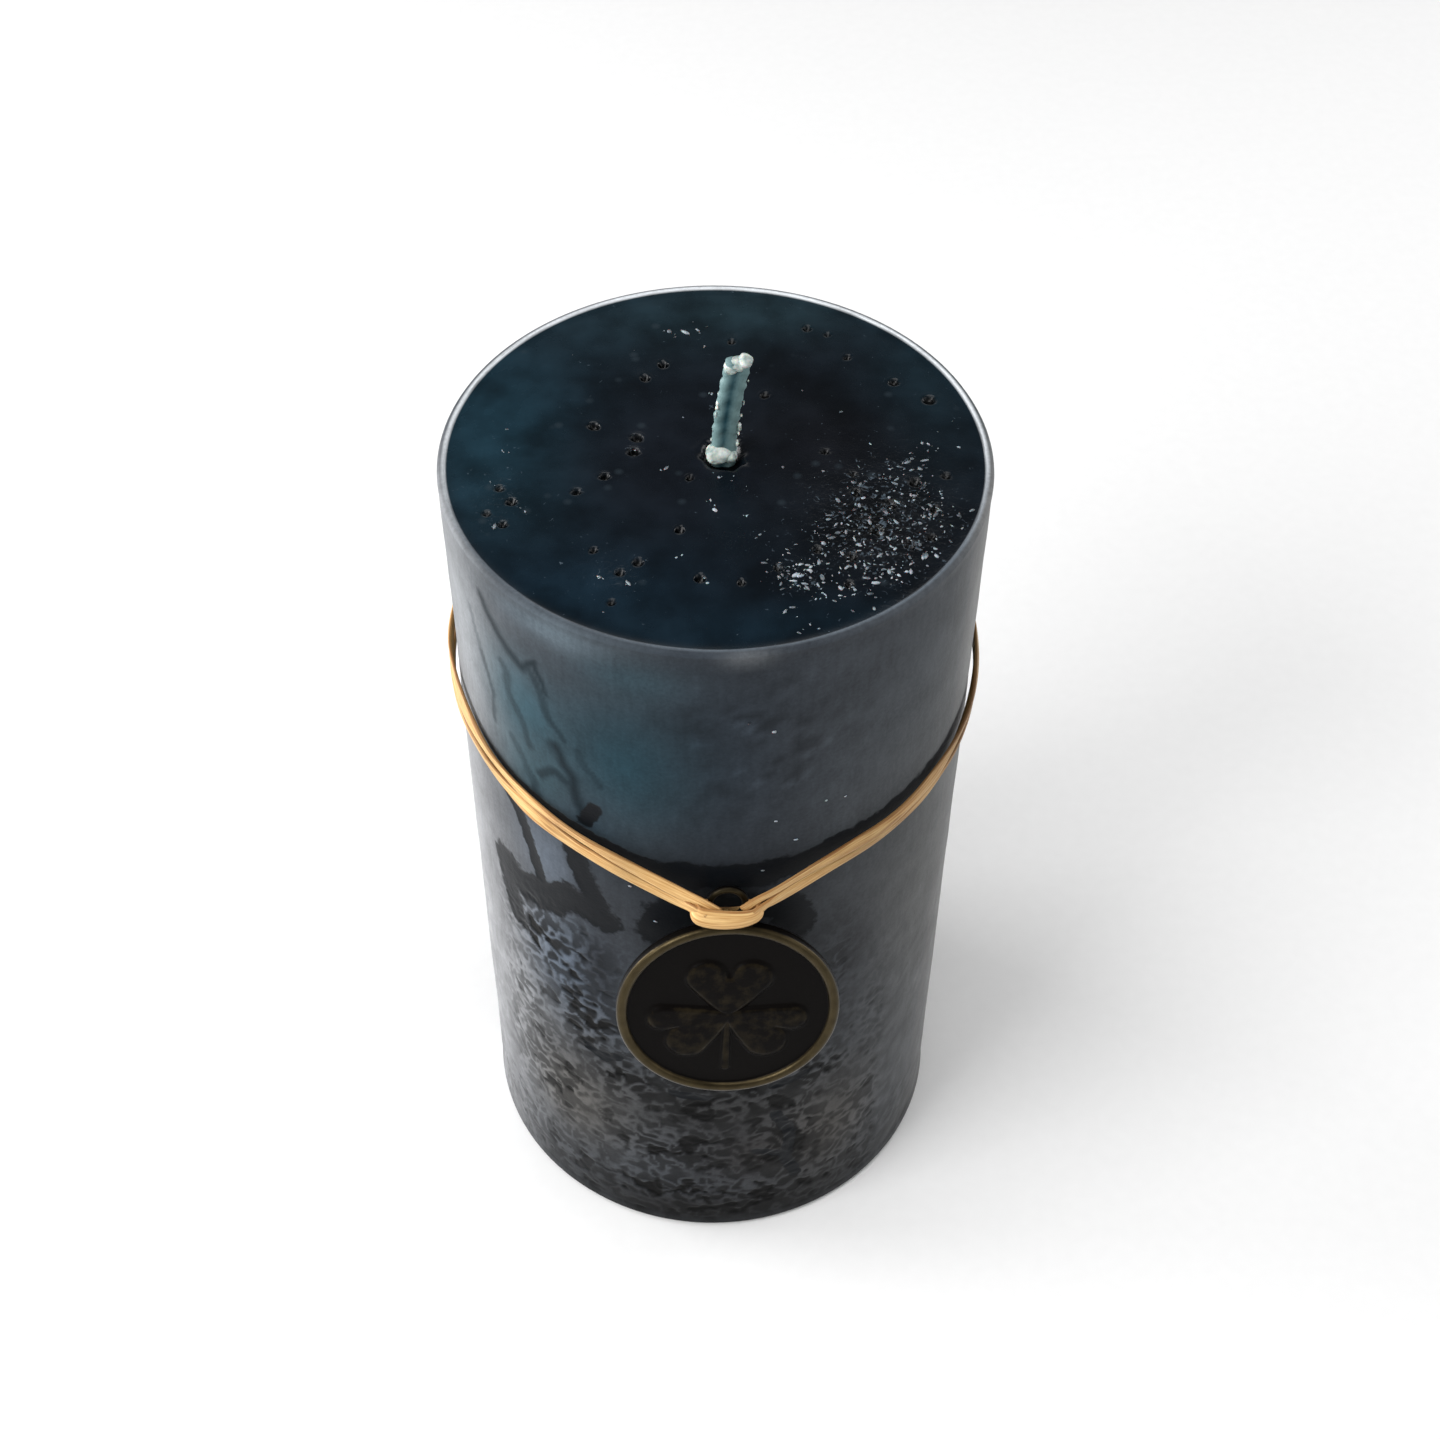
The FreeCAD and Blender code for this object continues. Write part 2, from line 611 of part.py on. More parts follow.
def cord_hitch():
    """Hitch of raffia: a bar across the bail's neck, wrapped round it and brought out of its hole."""
    body = new_body("cord_hitch")
    half = "Sizes.hitch_width / 2"
    bar_back = f"({FACE} + Sizes.hitch_play)"
    bar_middle = f"({BAIL_CENTRE} - Sizes.hitch_drop)"
    low = f"{bar_middle} - Sizes.hitch_height / 2"
    high = f"{bar_middle} + Sizes.hitch_height / 2"
    bar = rectangle(new_sketch(body, "bar_outline", "across", bar_back), f"-{half}", half, low, high)
    pad(body, "hitch_bar", bar, "Sizes.hitch_thickness")
    bar_low = size(low)
    bar_high = size(high)
    round_edges(
        body,
        "bar_ends",
        "Sizes.hitch_round",
        lambda edge: edge.BoundBox.ZLength > 0.1 and not bar_low + 0.1 < edge.BoundBox.YMin < bar_high - 0.1,
    )
    ring_back = "(Sizes.bail_bar / 2 + Sizes.hitch_play / 2)"
    inner = f"({RING_RADIUS} + Sizes.bail_bar / 2 + Sizes.hitch_play)"
    wrap_low = f"({BAIL_CENTRE} - {RING_RADIUS} + Sizes.overlap)"
    wrap_high = f"({wrap_low} + Sizes.wrap_height)"
    back = f"({ring_back} + Sizes.hitch_back)"
    for side, sign in (("left", -1), ("right", 1)):
        outline = new_sketch(body, f"{side}_wrap_outline", "across", f"-{back}")
        edges = sorted([f"{sign} * {inner}", f"{sign} * {half}"], key=size)
        rectangle(outline, *edges, wrap_low, wrap_high)
        pad(body, f"{side}_wrap", outline, f"{back} + {bar_back} + Sizes.overlap")
    plate_top = f"{BAIL_CENTRE} + Sizes.bail_bar / 2"
    plate = polygon(
        new_sketch(body, "back_profile", "side"),
        [
            (wrap_low, f"-{ring_back}"),
            (wrap_low, f"-{back}"),
            (wrap_high, f"-{back}"),
            (plate_top, f"-{ring_back} - 2 * Sizes.overlap"),
            (plate_top, f"-{ring_back}"),
        ],
    )
    pad(body, "hitch_back", plate, "Sizes.hitch_width", both_ways=True)
    tongue = circle(
        new_sketch(body, "tongue_outline", "across", f"-{ring_back} - Sizes.overlap"),
        "Sizes.bail_hole - 2 * Sizes.hitch_play",
        "0",
        BAIL_CENTRE,
    )
    pad(body, "hitch_tongue", tongue, f"{ring_back} + {bar_back} + Sizes.hitch_thickness / 2")
    shoulder = rectangle(
        new_sketch(body, "shoulder_outline", "across", "Sizes.bail_bar / 2 + Sizes.hitch_play"),
        f"-{half} + Sizes.hitch_round",
        f"{half} - Sizes.hitch_round",
        f"{high} - Sizes.shoulder_height / 2",
        f"{high} + Sizes.shoulder_height / 2",
    )
    pad(body, "hitch_shoulder", shoulder, "Sizes.shoulder_thickness")
    hang(body)
    return body


def check_document():
    """Stop if any object failed to compute."""
    doc.recompute()
    for item in doc.Objects:
        if {"Invalid", "Error"} & set(item.State):
            raise ValueError(f"{item.Label} is {item.State}")


def export(pieces):
    """Write each sub-part's solid to its own file."""
    os.makedirs("parts", exist_ok=True)
    for piece in pieces:
        shape = piece.Shape
        if shape.isNull() or not shape.isValid() or len(shape.Solids) != 1:
            raise ValueError(f"{piece.Label} is not one valid solid")
    for piece in pieces:
        piece.Shape.exportStep(f"parts/{piece.Label}.step")
        box = piece.Shape.BoundBox
        print(f"{piece.Label}: {piece.Shape.Volume:.1f} mm3, Z {box.ZMin:.1f} to {box.ZMax:.1f}")


fill_sheet()
sub_parts = [
    wax_body(),
    wick_sustainer(),
    wick_braid(),
    wick_foot_wax(),
    wick_tip_wax(),
    *cord_strands(),
    cord_back_knot(),
    medal(),
    cord_hitch(),
]
check_document()
export(sub_parts)
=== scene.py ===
"""Pillar candle with a raffia cord and a clover medal: the visible pieces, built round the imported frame."""

import itertools
import math
import random

import bmesh
import bpy
import numpy as np
from mathutils import Matrix, Vector


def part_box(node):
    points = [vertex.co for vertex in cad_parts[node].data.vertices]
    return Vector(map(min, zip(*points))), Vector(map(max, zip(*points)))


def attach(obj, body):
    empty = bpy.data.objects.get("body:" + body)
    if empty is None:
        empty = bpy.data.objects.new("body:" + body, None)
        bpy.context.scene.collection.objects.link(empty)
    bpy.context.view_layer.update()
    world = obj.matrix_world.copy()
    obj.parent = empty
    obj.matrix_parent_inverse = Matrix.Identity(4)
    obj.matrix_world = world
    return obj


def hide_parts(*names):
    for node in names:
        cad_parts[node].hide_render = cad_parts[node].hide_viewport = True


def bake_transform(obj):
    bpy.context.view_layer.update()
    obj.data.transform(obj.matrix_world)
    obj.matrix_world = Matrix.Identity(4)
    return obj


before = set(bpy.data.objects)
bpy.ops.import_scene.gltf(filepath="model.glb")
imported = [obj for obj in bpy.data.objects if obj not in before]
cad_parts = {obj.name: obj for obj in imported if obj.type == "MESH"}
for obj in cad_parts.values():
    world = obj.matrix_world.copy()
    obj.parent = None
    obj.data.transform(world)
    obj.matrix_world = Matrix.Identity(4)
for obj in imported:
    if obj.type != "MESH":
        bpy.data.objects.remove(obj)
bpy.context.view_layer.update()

MM = 0.001

WAX_LOW, WAX_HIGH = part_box("wax_body")
RADIUS = WAX_HIGH.x / MM
HEIGHT = WAX_HIGH.z / MM

# The wick's middle where it leaves the wax, and how far its tip leans to the right.
WICK_X = 0.9
WICK_LEAN = 1.8
WICK_STUB = 14.5

# The medal's own frame: its middle, and how far its top leans back.
MEDAL_MIDDLE = Vector((0, -40.4, 67.3))
MEDAL_TILT = math.radians(12)
BAIL_LEVEL = 18.4

# Route of the raffia each way round from the medal: degrees from the front, height, standoff.
LEFT_ROUTE = [
    (-8.8, 86.9, 0.8), (-16, 88.7, 0.1), (-25, 90.6, 0), (-36, 92.2, 0), (-48, 93.7, 0),
    (-61, 95.4, 0.1), (-76, 97.0, 0.2), (-92, 97.8, 0.1), (-109, 98.2, 0), (-127, 98.3, 0),
    (-145, 98.1, 0), (-162, 97.8, 0), (-178.4, 97.5, 0.2),
]
RIGHT_ROUTE = [
    (8.8, 86.8, 0.8), (15, 88.4, 0.1), (24, 90.2, 0), (35, 90.6, 0), (47, 91.9, 0),
    (60, 92.9, 0), (74, 94.9, 0.1), (90, 96.5, 0.1), (107, 97.5, 0), (125, 98.0, 0),
    (144, 98.0, 0), (162, 97.7, 0), (178.4, 97.5, 0.2),
]
LEFT_TAIL = [(-178.2, 94.9, 0.5), (-174.5, 92.4, 0.9), (-168.5, 89.6, 1.2), (-160.5, 88.2, 1.0)]
RIGHT_TAIL = [(178.2, 94.9, 0.5), (175.5, 91.8, 0.8), (172.5, 87.6, 1.2), (167.0, 84.4, 0.9)]
# How far each ply runs above or below the route at each of its points, and how far out its middle is.
LEFT_SPREAD = [0.95, 1.04, 1.13, 1.14, 1.1, 1.16, 1.8, 1.42, 0.99, 0.95, 0.95, 0.95, 0.95]
RIGHT_SPREAD = [0.9, 0.84, 0.76, 0.74, 0.74, 0.76, 0.78, 0.82, 0.86, 0.9, 0.95, 0.95, 0.95]
PLY_MIDDLE = RADIUS + 1.1
# The strips are flat and tied tight, so between the hitch and the knot their middle lies this much
# nearer to the wax: degrees from the front, distance.
PULLED_IN = ([16, 36, 60, 145, 165], [0, 0.45, 0.7, 0.7, 0])


# ---------------------------------------------------------------- small helpers


def linear(hex_colour):
    """An sRGB hex colour as linear red, green, blue and alpha."""
    parts = [int(hex_colour[i : i + 2], 16) / 255 for i in (0, 2, 4)]
    return tuple(c / 12.92 if c <= 0.04045 else ((c + 0.055) / 1.055) ** 2.4 for c in parts) + (1.0,)


def add_node(tree, kind, inputs=None, **settings):
    """Add a node with its settings; an input is a value, or the output socket that feeds it."""
    node = tree.nodes.new(kind)
    for name, value in settings.items():
        setattr(node, name, value)
    for name, value in (inputs or {}).items():
        if isinstance(value, bpy.types.NodeSocket):
            tree.links.new(value, node.inputs[name])
        else:
            node.inputs[name].default_value = value
    return node


def new_material(name, **settings):
    """A material whose shader has these settings, with its node tree and shader."""
    material = bpy.data.materials.new(name)
    material.use_nodes = True
    shader = material.node_tree.nodes["Principled BSDF"]
    for socket, value in settings.items():
        shader.inputs[socket.replace("_", " ")].default_value = value
    return material, material.node_tree, shader


def new_piece(name, bm, body, materials, replaces=()):
    """A finished piece from a bmesh in millimetres, riding on its body unless it is to be blended."""
    mesh = bpy.data.meshes.new(name)
    bmesh.ops.scale(bm, vec=(MM, MM, MM), verts=bm.verts)
    bm.to_mesh(mesh)
    bm.free()
    mesh.shade_smooth()
    for material in materials:
        mesh.materials.append(material)
    piece = bpy.data.objects.new(name, mesh)
    bpy.context.scene.collection.objects.link(piece)
    if body:
        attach(piece, body)
    if replaces:
        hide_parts(*replaces)
    return piece


def smoothstep(low, high, value):
    """0 below low, 1 above high, and an even slope between."""
    share = np.clip((value - low) / (high - low), 0, 1)
    return share * share * (3 - 2 * share)


def lumps(points, size, seed):
    """Smooth random heights from -1 to 1, in lumps of about this size."""
    table = np.random.default_rng(seed).random((32, 32, 32)) * 2 - 1
    turned = points @ np.array([[0.8, 0.36, 0.48], [-0.6, 0.48, 0.64], [0, -0.8, 0.6]])
    cell = turned / size + 100.0
    base = np.floor(cell).astype(int)
    part = cell - base
    part = part * part * (3 - 2 * part)
    total = np.zeros(len(points))
    for corner in itertools.product((0, 1), repeat=3):
        share = np.prod(np.where(corner, part, 1 - part), axis=1)
        i, j, k = ((base + corner) % 32).T
        total += share * table[i, j, k]
    return total


def set_attribute(mesh, name, kind, values):
    """Store one value for each vertex under this name."""
    attribute = mesh.attributes.new(name, kind, "POINT")
    field = {"FLOAT": "value", "FLOAT_COLOR": "color", "FLOAT_VECTOR": "vector"}[kind]
    attribute.data.foreach_set(field, np.asarray(values, np.float32).ravel())


def on_wall(degrees, level, out=0.0):
    """A point on the candle's wall, or that far out from it."""
    turn = math.radians(degrees)
    return Vector(((RADIUS + out) * math.sin(turn), -(RADIUS + out) * math.cos(turn), level))


def stroke_field(across, up, strokes):
    """0 at a stroke's edge, below 0 outside and up to the stroke's depth inside, over all the strokes."""
    field = np.full(len(across), -2.0)
    for half_width, depth, *points in strokes:
        for (ax, ay), (bx, by) in zip(points, points[1:]):
            ax, bx = math.radians(ax) * RADIUS, math.radians(bx) * RADIUS
            run = (bx - ax) ** 2 + (by - ay) ** 2
            share = np.clip(((across - ax) * (bx - ax) + (up - ay) * (by - ay)) / run, 0, 1)
            gap = np.hypot(across - ax - share * (bx - ax), up - ay - share * (by - ay))
            field = np.maximum(field, np.minimum(depth, 1 - gap / half_width))
    return field


def smooth_line(points, step):
    """Points every step along the NURBS spline that has these control points."""
    curve = bpy.data.curves.new("route", "CURVE")
    curve.dimensions = "3D"
    spline = curve.splines.new("NURBS")
    spline.points.add(len(points) - 1)
    for control, place in zip(spline.points, points):
        control.co = (*place, 1)
    spline.order_u = 3
    spline.use_endpoint_u = True
    curve.resolution_u = 16
    route = bpy.data.objects.new("route", curve)
    mesh = bpy.data.meshes.new_from_object(route)
    line = np.array([v.co for v in mesh.vertices])
    bpy.data.objects.remove(route)
    bpy.data.curves.remove(curve)
    bpy.data.meshes.remove(mesh)
    along = np.concatenate([[0], np.cumsum(np.linalg.norm(np.diff(line, axis=0), axis=1))])
    count = max(4, round(along[-1] / step))
    even = np.linspace(0, along[-1], count + 1)
    return [Vector([np.interp(t, along, line[:, k]) for k in range(3)]) for t in even]


def sweep(line, facing, sides, shape):
    """A closed tube along a line. facing(point) is where its flat side looks, and
    shape(share, angle) gives how far a corner lies across and through at that share of its length."""
    steps = len(line) - 1
    bm = bmesh.new()
    ring = bmesh.ops.create_circle(bm, segments=sides, radius=1)["verts"]
    edges = list({edge for vert in ring for edge in vert.link_edges})
    bmesh.ops.spin(
        bm, geom=ring + edges, cent=(0, 0, 0), axis=(0, 0, 1), dvec=(0, 0, 1), angle=0, steps=steps
    )
    bmesh.ops.holes_fill(bm, edges=bm.edges[:], sides=sides)
    lay = bm.verts.layers.float_vector.new("Fibre")
    length = sum((b - a).length for a, b in zip(line, line[1:]))
    frames = []
    for index, point in enumerate(line):
        ahead = (line[min(index + 1, steps)] - line[max(index - 1, 0)]).normalized()
        out = facing(point)
        out = (out - ahead * out.dot(ahead)).normalized()
        frames.append((point, out.cross(ahead), out))
    for vert in bm.verts:
        index = round(vert.co.z)
        angle = math.atan2(vert.co.y, vert.co.x)
        across, through = shape(index / steps, angle)
        point, side, out = frames[index]
        vert[lay] = (math.cos(angle), math.sin(angle), index / steps * length)
        vert.co = point + side * across + out * through
    bmesh.ops.recalc_face_normals(bm, faces=bm.faces)
    return bm


def join(parts):
    """One bmesh that holds all of these."""
    whole = bmesh.new()
    for part in parts:
        mesh = bpy.data.meshes.new("part")
        part.to_mesh(mesh)
        part.free()
        whole.from_mesh(mesh)
        bpy.data.meshes.remove(mesh)
    return whole


# ---------------------------------------------------------------- finishes


def frosted_wax():
    """Paraffin cast against a cold metal mould: it comes out with a dull grey bloom, and dark, shinier wax shows
    wherever the bloom broke up or was rubbed away.
    The same near-black is also painted as shade along the cord and round the medal's top."""
    material, tree, shader = new_material(
        "paraffin, cast wall with bloom", Roughness=0.5, IOR=1.43, Specular_IOR_Level=0.07,
        Sheen_Weight=0.1, Sheen_Roughness=0.3,
    )
    place = add_node(tree, "ShaderNodeTexCoord").outputs["Object"]
    tint = add_node(tree, "ShaderNodeAttribute", attribute_name="Tint").outputs["Color"]
    bare_and_shade = add_node(tree, "ShaderNodeAttribute", attribute_name="Bare").outputs["Fac"]
    relief = add_node(tree, "ShaderNodeAttribute", attribute_name="Relief").outputs["Fac"]
    # Ragged edge of the bare wax, in bites of 1.5 mm.
    bites = add_node(
        tree, "ShaderNodeTexNoise", {"Vector": place, "Scale": 1 / (1.5 * MM), "Detail": 4.0}
    ).outputs["Fac"]
    shift = add_node(
        tree, "ShaderNodeMath", {0: bites, 1: 1.1, 2: bare_and_shade}, operation="MULTIPLY_ADD"
    ).outputs[0]
    bare_and_shade_mask = add_node(
        tree, "ShaderNodeMapRange", {"Value": shift, "From Min": 0.5, "From Max": 0.72}
    ).outputs[0]
    # Crystal grain of the bloom, 0.5 mm.
    grain = add_node(
        tree,
        "ShaderNodeTexNoise",
        {"Vector": place, "Scale": 1 / (0.5 * MM), "Detail": 3.0, "Roughness": 0.65},
    ).outputs["Fac"]
    streaks_at = add_node(
        tree, "ShaderNodeMapping", {"Vector": place, "Scale": (1.0, 1.0, 0.22)}
    ).outputs[0]
    # Faint upright wipe marks from drawing the candle out of its mould, 0.8 mm apart.
    streaks = add_node(
        tree, "ShaderNodeTexNoise", {"Vector": streaks_at, "Scale": 1 / (0.8 * MM), "Detail": 3.0}
    ).outputs["Fac"]
    clouds = add_node(
        tree, "ShaderNodeTexNoise", {"Vector": place, "Scale": 1 / (7 * MM), "Detail": 4.0}
    ).outputs["Fac"]
    mixed = add_node(tree, "ShaderNodeMath", {0: grain, 1: 0.6, 2: 0.12}, operation="MULTIPLY_ADD").outputs[0]
    mixed = add_node(tree, "ShaderNodeMath", {0: streaks, 1: 0.4, 2: mixed}, operation="MULTIPLY_ADD").outputs[0]
    mixed = add_node(tree, "ShaderNodeMath", {0: clouds, 1: 0.75, 2: mixed}, operation="MULTIPLY_ADD").outputs[0]
    mixed = add_node(tree, "ShaderNodeMath", {0: mixed, 1: relief}, operation="MULTIPLY").outputs[0]
    bloom = add_node(
        tree, "ShaderNodeVectorMath", {0: tint, "Scale": mixed}, operation="SCALE"
    ).outputs[0]
    # Near-black wax where the bloom is gone; where the mask carries the cord's and the medal's painted shadow, this
    # same colour is painted shade.
    colour = add_node(
        tree,
        "ShaderNodeMix",
        {0: bare_and_shade_mask, 6: bloom, 7: linear("070b10")},
        data_type="RGBA",
    ).outputs[2]
    tree.links.new(colour, shader.inputs["Base Color"])
    gloss = add_node(
        tree, "ShaderNodeMapRange", {"Value": bare_and_shade_mask, "To Min": 0.56, "To Max": 0.42}
    ).outputs[0]
    tree.links.new(gloss, shader.inputs["Roughness"])
    rise = add_node(
        tree, "ShaderNodeMath", {0: bare_and_shade_mask, 1: -0.8, 2: grain}, operation="MULTIPLY_ADD"
    ).outputs[0]
    bump = add_node(
        tree, "ShaderNodeBump", {"Height": rise, "Strength": 0.4, "Distance": 0.05 * MM}
    ).outputs[0]
    tree.links.new(bump, shader.inputs["Normal"])
    return material


def poured_wax():
    """The same paraffin where it set in the open: smooth, near black and glossy, with a faint
    blue haze towards the rim, hazy bubbles under the surface and loose crystals at one side."""
    material, tree, shader = new_material(
        "paraffin, poured top", Roughness=0.24, IOR=1.43, Specular_IOR_Level=0.3
    )
    place = add_node(tree, "ShaderNodeTexCoord").outputs["Object"]
    tint = add_node(tree, "ShaderNodeAttribute", attribute_name="Tint").outputs["Color"]
    crystal = add_node(tree, "ShaderNodeAttribute", attribute_name="Bare").outputs["Fac"]
    clouds = add_node(
        tree, "ShaderNodeTexNoise", {"Vector": place, "Scale": 1 / (6 * MM), "Detail": 5.0}
    ).outputs["Fac"]
    shade = add_node(
        tree, "ShaderNodeMapRange", {"Value": clouds, "From Min": 0.3, "From Max": 0.75, "To Min": 0.55, "To Max": 1.5}
    ).outputs[0]
    haze = add_node(tree, "ShaderNodeVectorMath", {0: tint, "Scale": shade}, operation="SCALE").outputs[0]
    # Bubbles under the surface, 1.2 mm across and 5 mm apart.
    cells = add_node(
        tree, "ShaderNodeTexVoronoi", {"Vector": place, "Scale": 1 / (5 * MM), "Randomness": 1.0}
    ).outputs["Distance"]
    bubble = add_node(
        tree, "ShaderNodeMapRange", {"Value": cells, "From Min": 0.05, "From Max": 0.15, "To Min": 0.4, "To Max": 0.0}
    ).outputs[0]
    colour = add_node(
        tree, "ShaderNodeMix", {0: bubble, 6: haze, 7: linear("2c363d")}, data_type="RGBA"
    ).outputs[2]
    # Crystals, 0.6 mm apart.
    needles_at = add_node(
        tree, "ShaderNodeTexNoise", {"Vector": place, "Scale": 1 / (0.75 * MM), "Detail": 2.0, "Distortion": 1.2}
    ).outputs["Fac"]
    spark = add_node(
        tree, "ShaderNodeMath", {0: crystal, 1: 0.16, 2: needles_at}, operation="MULTIPLY_ADD"
    ).outputs[0]
    spark = add_node(
        tree, "ShaderNodeMapRange", {"Value": spark, "From Min": 0.73, "From Max": 0.82, "To Max": 0.55}
    ).outputs[0]
    colour = add_node(
        tree, "ShaderNodeMix", {0: spark, 6: colour, 7: linear("5e6c78")}, data_type="RGBA"
    ).outputs[2]
    tree.links.new(colour, shader.inputs["Base Color"])
    gloss = add_node(
        tree, "ShaderNodeMapRange", {"Value": clouds, "From Min": 0.3, "From Max": 0.7, "To Min": 0.18, "To Max": 0.34}
    ).outputs[0]
    tree.links.new(gloss, shader.inputs["Roughness"])
    rough_patch = add_node(
        tree, "ShaderNodeMath", {0: needles_at, 1: crystal}, operation="MULTIPLY"
    ).outputs[0]
    rough_patch = add_node(
        tree, "ShaderNodeMath", {0: clouds, 1: 0.5, 2: rough_patch}, operation="MULTIPLY_ADD"
    ).outputs[0]
    bump = add_node(
        tree, "ShaderNodeBump", {"Height": rough_patch, "Strength": 0.5, "Distance": 0.35 * MM}
    ).outputs[0]
    tree.links.new(bump, shader.inputs["Normal"])
    return material


def pale_wax(name, dark, light, scale_mm):
    """Undyed paraffin left on the wick by priming: cloudy, soft-edged and slightly translucent."""
    material, tree, shader = new_material(
        name, Roughness=0.42, IOR=1.43, Specular_IOR_Level=0.4, Subsurface_Weight=0.25, Subsurface_Scale=0.6 * MM
    )
    place = add_node(tree, "ShaderNodeTexCoord").outputs["Object"]
    clouds = add_node(
        tree, "ShaderNodeTexNoise", {"Vector": place, "Scale": 1 / (scale_mm * MM), "Detail": 4.0}
    ).outputs["Fac"]
    share = add_node(
        tree, "ShaderNodeMapRange", {"Value": clouds, "From Min": 0.35, "From Max": 0.65}
    ).outputs[0]
    colour = add_node(
        tree, "ShaderNodeMix", {0: share, 6: linear(dark), 7: linear(light)}, data_type="RGBA"
    ).outputs[2]
    tree.links.new(colour, shader.inputs["Base Color"])
    bump = add_node(
        tree, "ShaderNodeBump", {"Height": clouds, "Strength": 0.4, "Distance": 0.2 * MM}
    ).outputs[0]
    tree.links.new(bump, shader.inputs["Normal"])
    return material


def waxed_cotton():
    """Flat braided cotton primed with the candle's wax: blue-green, with painted shade darkening the groove
    down its middle, and the braid just showing through the wax."""
    material, tree, shader = new_material(
        "braided cotton, primed with wax", Roughness=0.5, IOR=1.45, Specular_IOR_Level=0.35
    )
    lay = add_node(tree, "ShaderNodeAttribute", attribute_name="Fibre").outputs["Vector"]
    parts = add_node(tree, "ShaderNodeSeparateXYZ", {0: lay})
    across = add_node(
        tree, "ShaderNodeMath", {0: parts.outputs[0], 1: 0.12}, operation="SUBTRACT"
    ).outputs[0]
    across = add_node(tree, "ShaderNodeMath", {0: across}, operation="ABSOLUTE").outputs[0]
    # Painted shade: the colour darkens towards the groove in the middle of each face.
    groove_shade = add_node(
        tree, "ShaderNodeMapRange", {"Value": across, "From Min": 0.05, "From Max": 0.85}
    ).outputs[0]
    place = add_node(tree, "ShaderNodeTexCoord").outputs["Object"]
    patches = add_node(
        tree, "ShaderNodeTexNoise", {"Vector": place, "Scale": 1 / (2.2 * MM), "Detail": 4.0}
    ).outputs["Fac"]
    share = add_node(tree, "ShaderNodeMath", {0: patches, 1: 0.9, 2: -0.32}, operation="MULTIPLY_ADD").outputs[0]
    share = add_node(tree, "ShaderNodeMath", {0: groove_shade, 1: share}, operation="ADD").outputs[0]
    colour = add_node(
        tree, "ShaderNodeMix", {0: share, 6: linear("20434c"), 7: linear("6f8a8b")}, data_type="RGBA"
    ).outputs[2]
    tree.links.new(colour, shader.inputs["Base Color"])
    # Yarn, 0.35 mm.
    yarn = add_node(
        tree, "ShaderNodeTexNoise", {"Vector": place, "Scale": 1 / (0.35 * MM), "Detail": 2.0}
    ).outputs["Fac"]
    bump = add_node(
        tree, "ShaderNodeBump", {"Height": yarn, "Strength": 0.35, "Distance": 0.15 * MM}
    ).outputs[0]
    tree.links.new(bump, shader.inputs["Normal"])
    return material


def raffia():
    """Dried palm leaf split into strips: straw yellow with long brown and pale fibres, a low sheen
    along the grain, and brown edges."""
    material, tree, shader = new_material("raffia, split palm leaf", Roughness=0.52, IOR=1.5, Specular_IOR_Level=0.35)
    lay = add_node(tree, "ShaderNodeAttribute", attribute_name="Fibre").outputs["Vector"]
    place = add_node(tree, "ShaderNodeTexCoord").outputs["Object"]
    # Fibres run the strip's length: about 0.15 mm wide and 15 mm long.
    fibres_at = add_node(tree, "ShaderNodeMapping", {"Vector": lay, "Scale": (5.0, 5.0, 0.16)}).outputs[0]
    fibres = add_node(
        tree, "ShaderNodeTexNoise", {"Vector": fibres_at, "Scale": 1.0, "Detail": 4.0, "Roughness": 0.62}
    ).outputs["Fac"]
    veins_at = add_node(tree, "ShaderNodeMapping", {"Vector": lay, "Scale": (1.6, 1.6, 0.1)}).outputs[0]
    veins = add_node(
        tree, "ShaderNodeTexNoise", {"Vector": veins_at, "Scale": 1.0, "Detail": 2.0}
    ).outputs["Fac"]
    share = add_node(
        tree, "ShaderNodeMapRange", {"Value": fibres, "From Min": 0.36, "From Max": 0.66}
    ).outputs[0]
    colour = add_node(
        tree, "ShaderNodeMix", {0: share, 6: linear("b98648"), 7: linear("e6c285")}, data_type="RGBA"
    ).outputs[2]
    dark = add_node(
        tree, "ShaderNodeMapRange", {"Value": veins, "From Min": 0.36, "From Max": 0.5, "To Min": 0.75, "To Max": 0.0}
    ).outputs[0]
    colour = add_node(
        tree, "ShaderNodeMix", {0: dark, 6: colour, 7: linear("8e5a28")}, data_type="RGBA"
    ).outputs[2]
    # The leaf's edges are browner.
    edge = add_node(tree, "ShaderNodeSeparateXYZ", {0: lay}).outputs[0]
    edge = add_node(tree, "ShaderNodeMath", {0: edge}, operation="ABSOLUTE").outputs[0]
    edge = add_node(
        tree, "ShaderNodeMapRange", {"Value": edge, "From Min": 0.8, "From Max": 1.0, "To Max": 0.6}
    ).outputs[0]
    colour = add_node(
        tree, "ShaderNodeMix", {0: edge, 6: colour, 7: linear("7d4c20")}, data_type="RGBA"
    ).outputs[2]
    stains = add_node(
        tree, "ShaderNodeTexNoise", {"Vector": place, "Scale": 1 / (9 * MM), "Detail": 2.0}
    ).outputs["Fac"]
    stains = add_node(
        tree, "ShaderNodeMapRange", {"Value": stains, "From Min": 0.35, "From Max": 0.7, "To Min": 1.05, "To Max": 0.75}
    ).outputs[0]
    # Painted shade: the strips darken towards the right, away from the key light.
    side = add_node(tree, "ShaderNodeSeparateXYZ", {0: place}).outputs[0]
    side = add_node(
        tree, "ShaderNodeMapRange",
        {"Value": side, "From Min": -4 * MM, "From Max": 32 * MM, "To Min": 1.0, "To Max": 0.5},
    ).outputs[0]
    shade = add_node(tree, "ShaderNodeMath", {0: stains, 1: side}, operation="MULTIPLY").outputs[0]
    colour = add_node(tree, "ShaderNodeVectorMath", {0: colour, "Scale": shade}, operation="SCALE").outputs[0]
    tree.links.new(colour, shader.inputs["Base Color"])
    bump = add_node(
        tree, "ShaderNodeBump", {"Height": fibres, "Strength": 0.5, "Distance": 0.12 * MM}
    ).outputs[0]
    tree.links.new(bump, shader.inputs["Normal"])
    return material


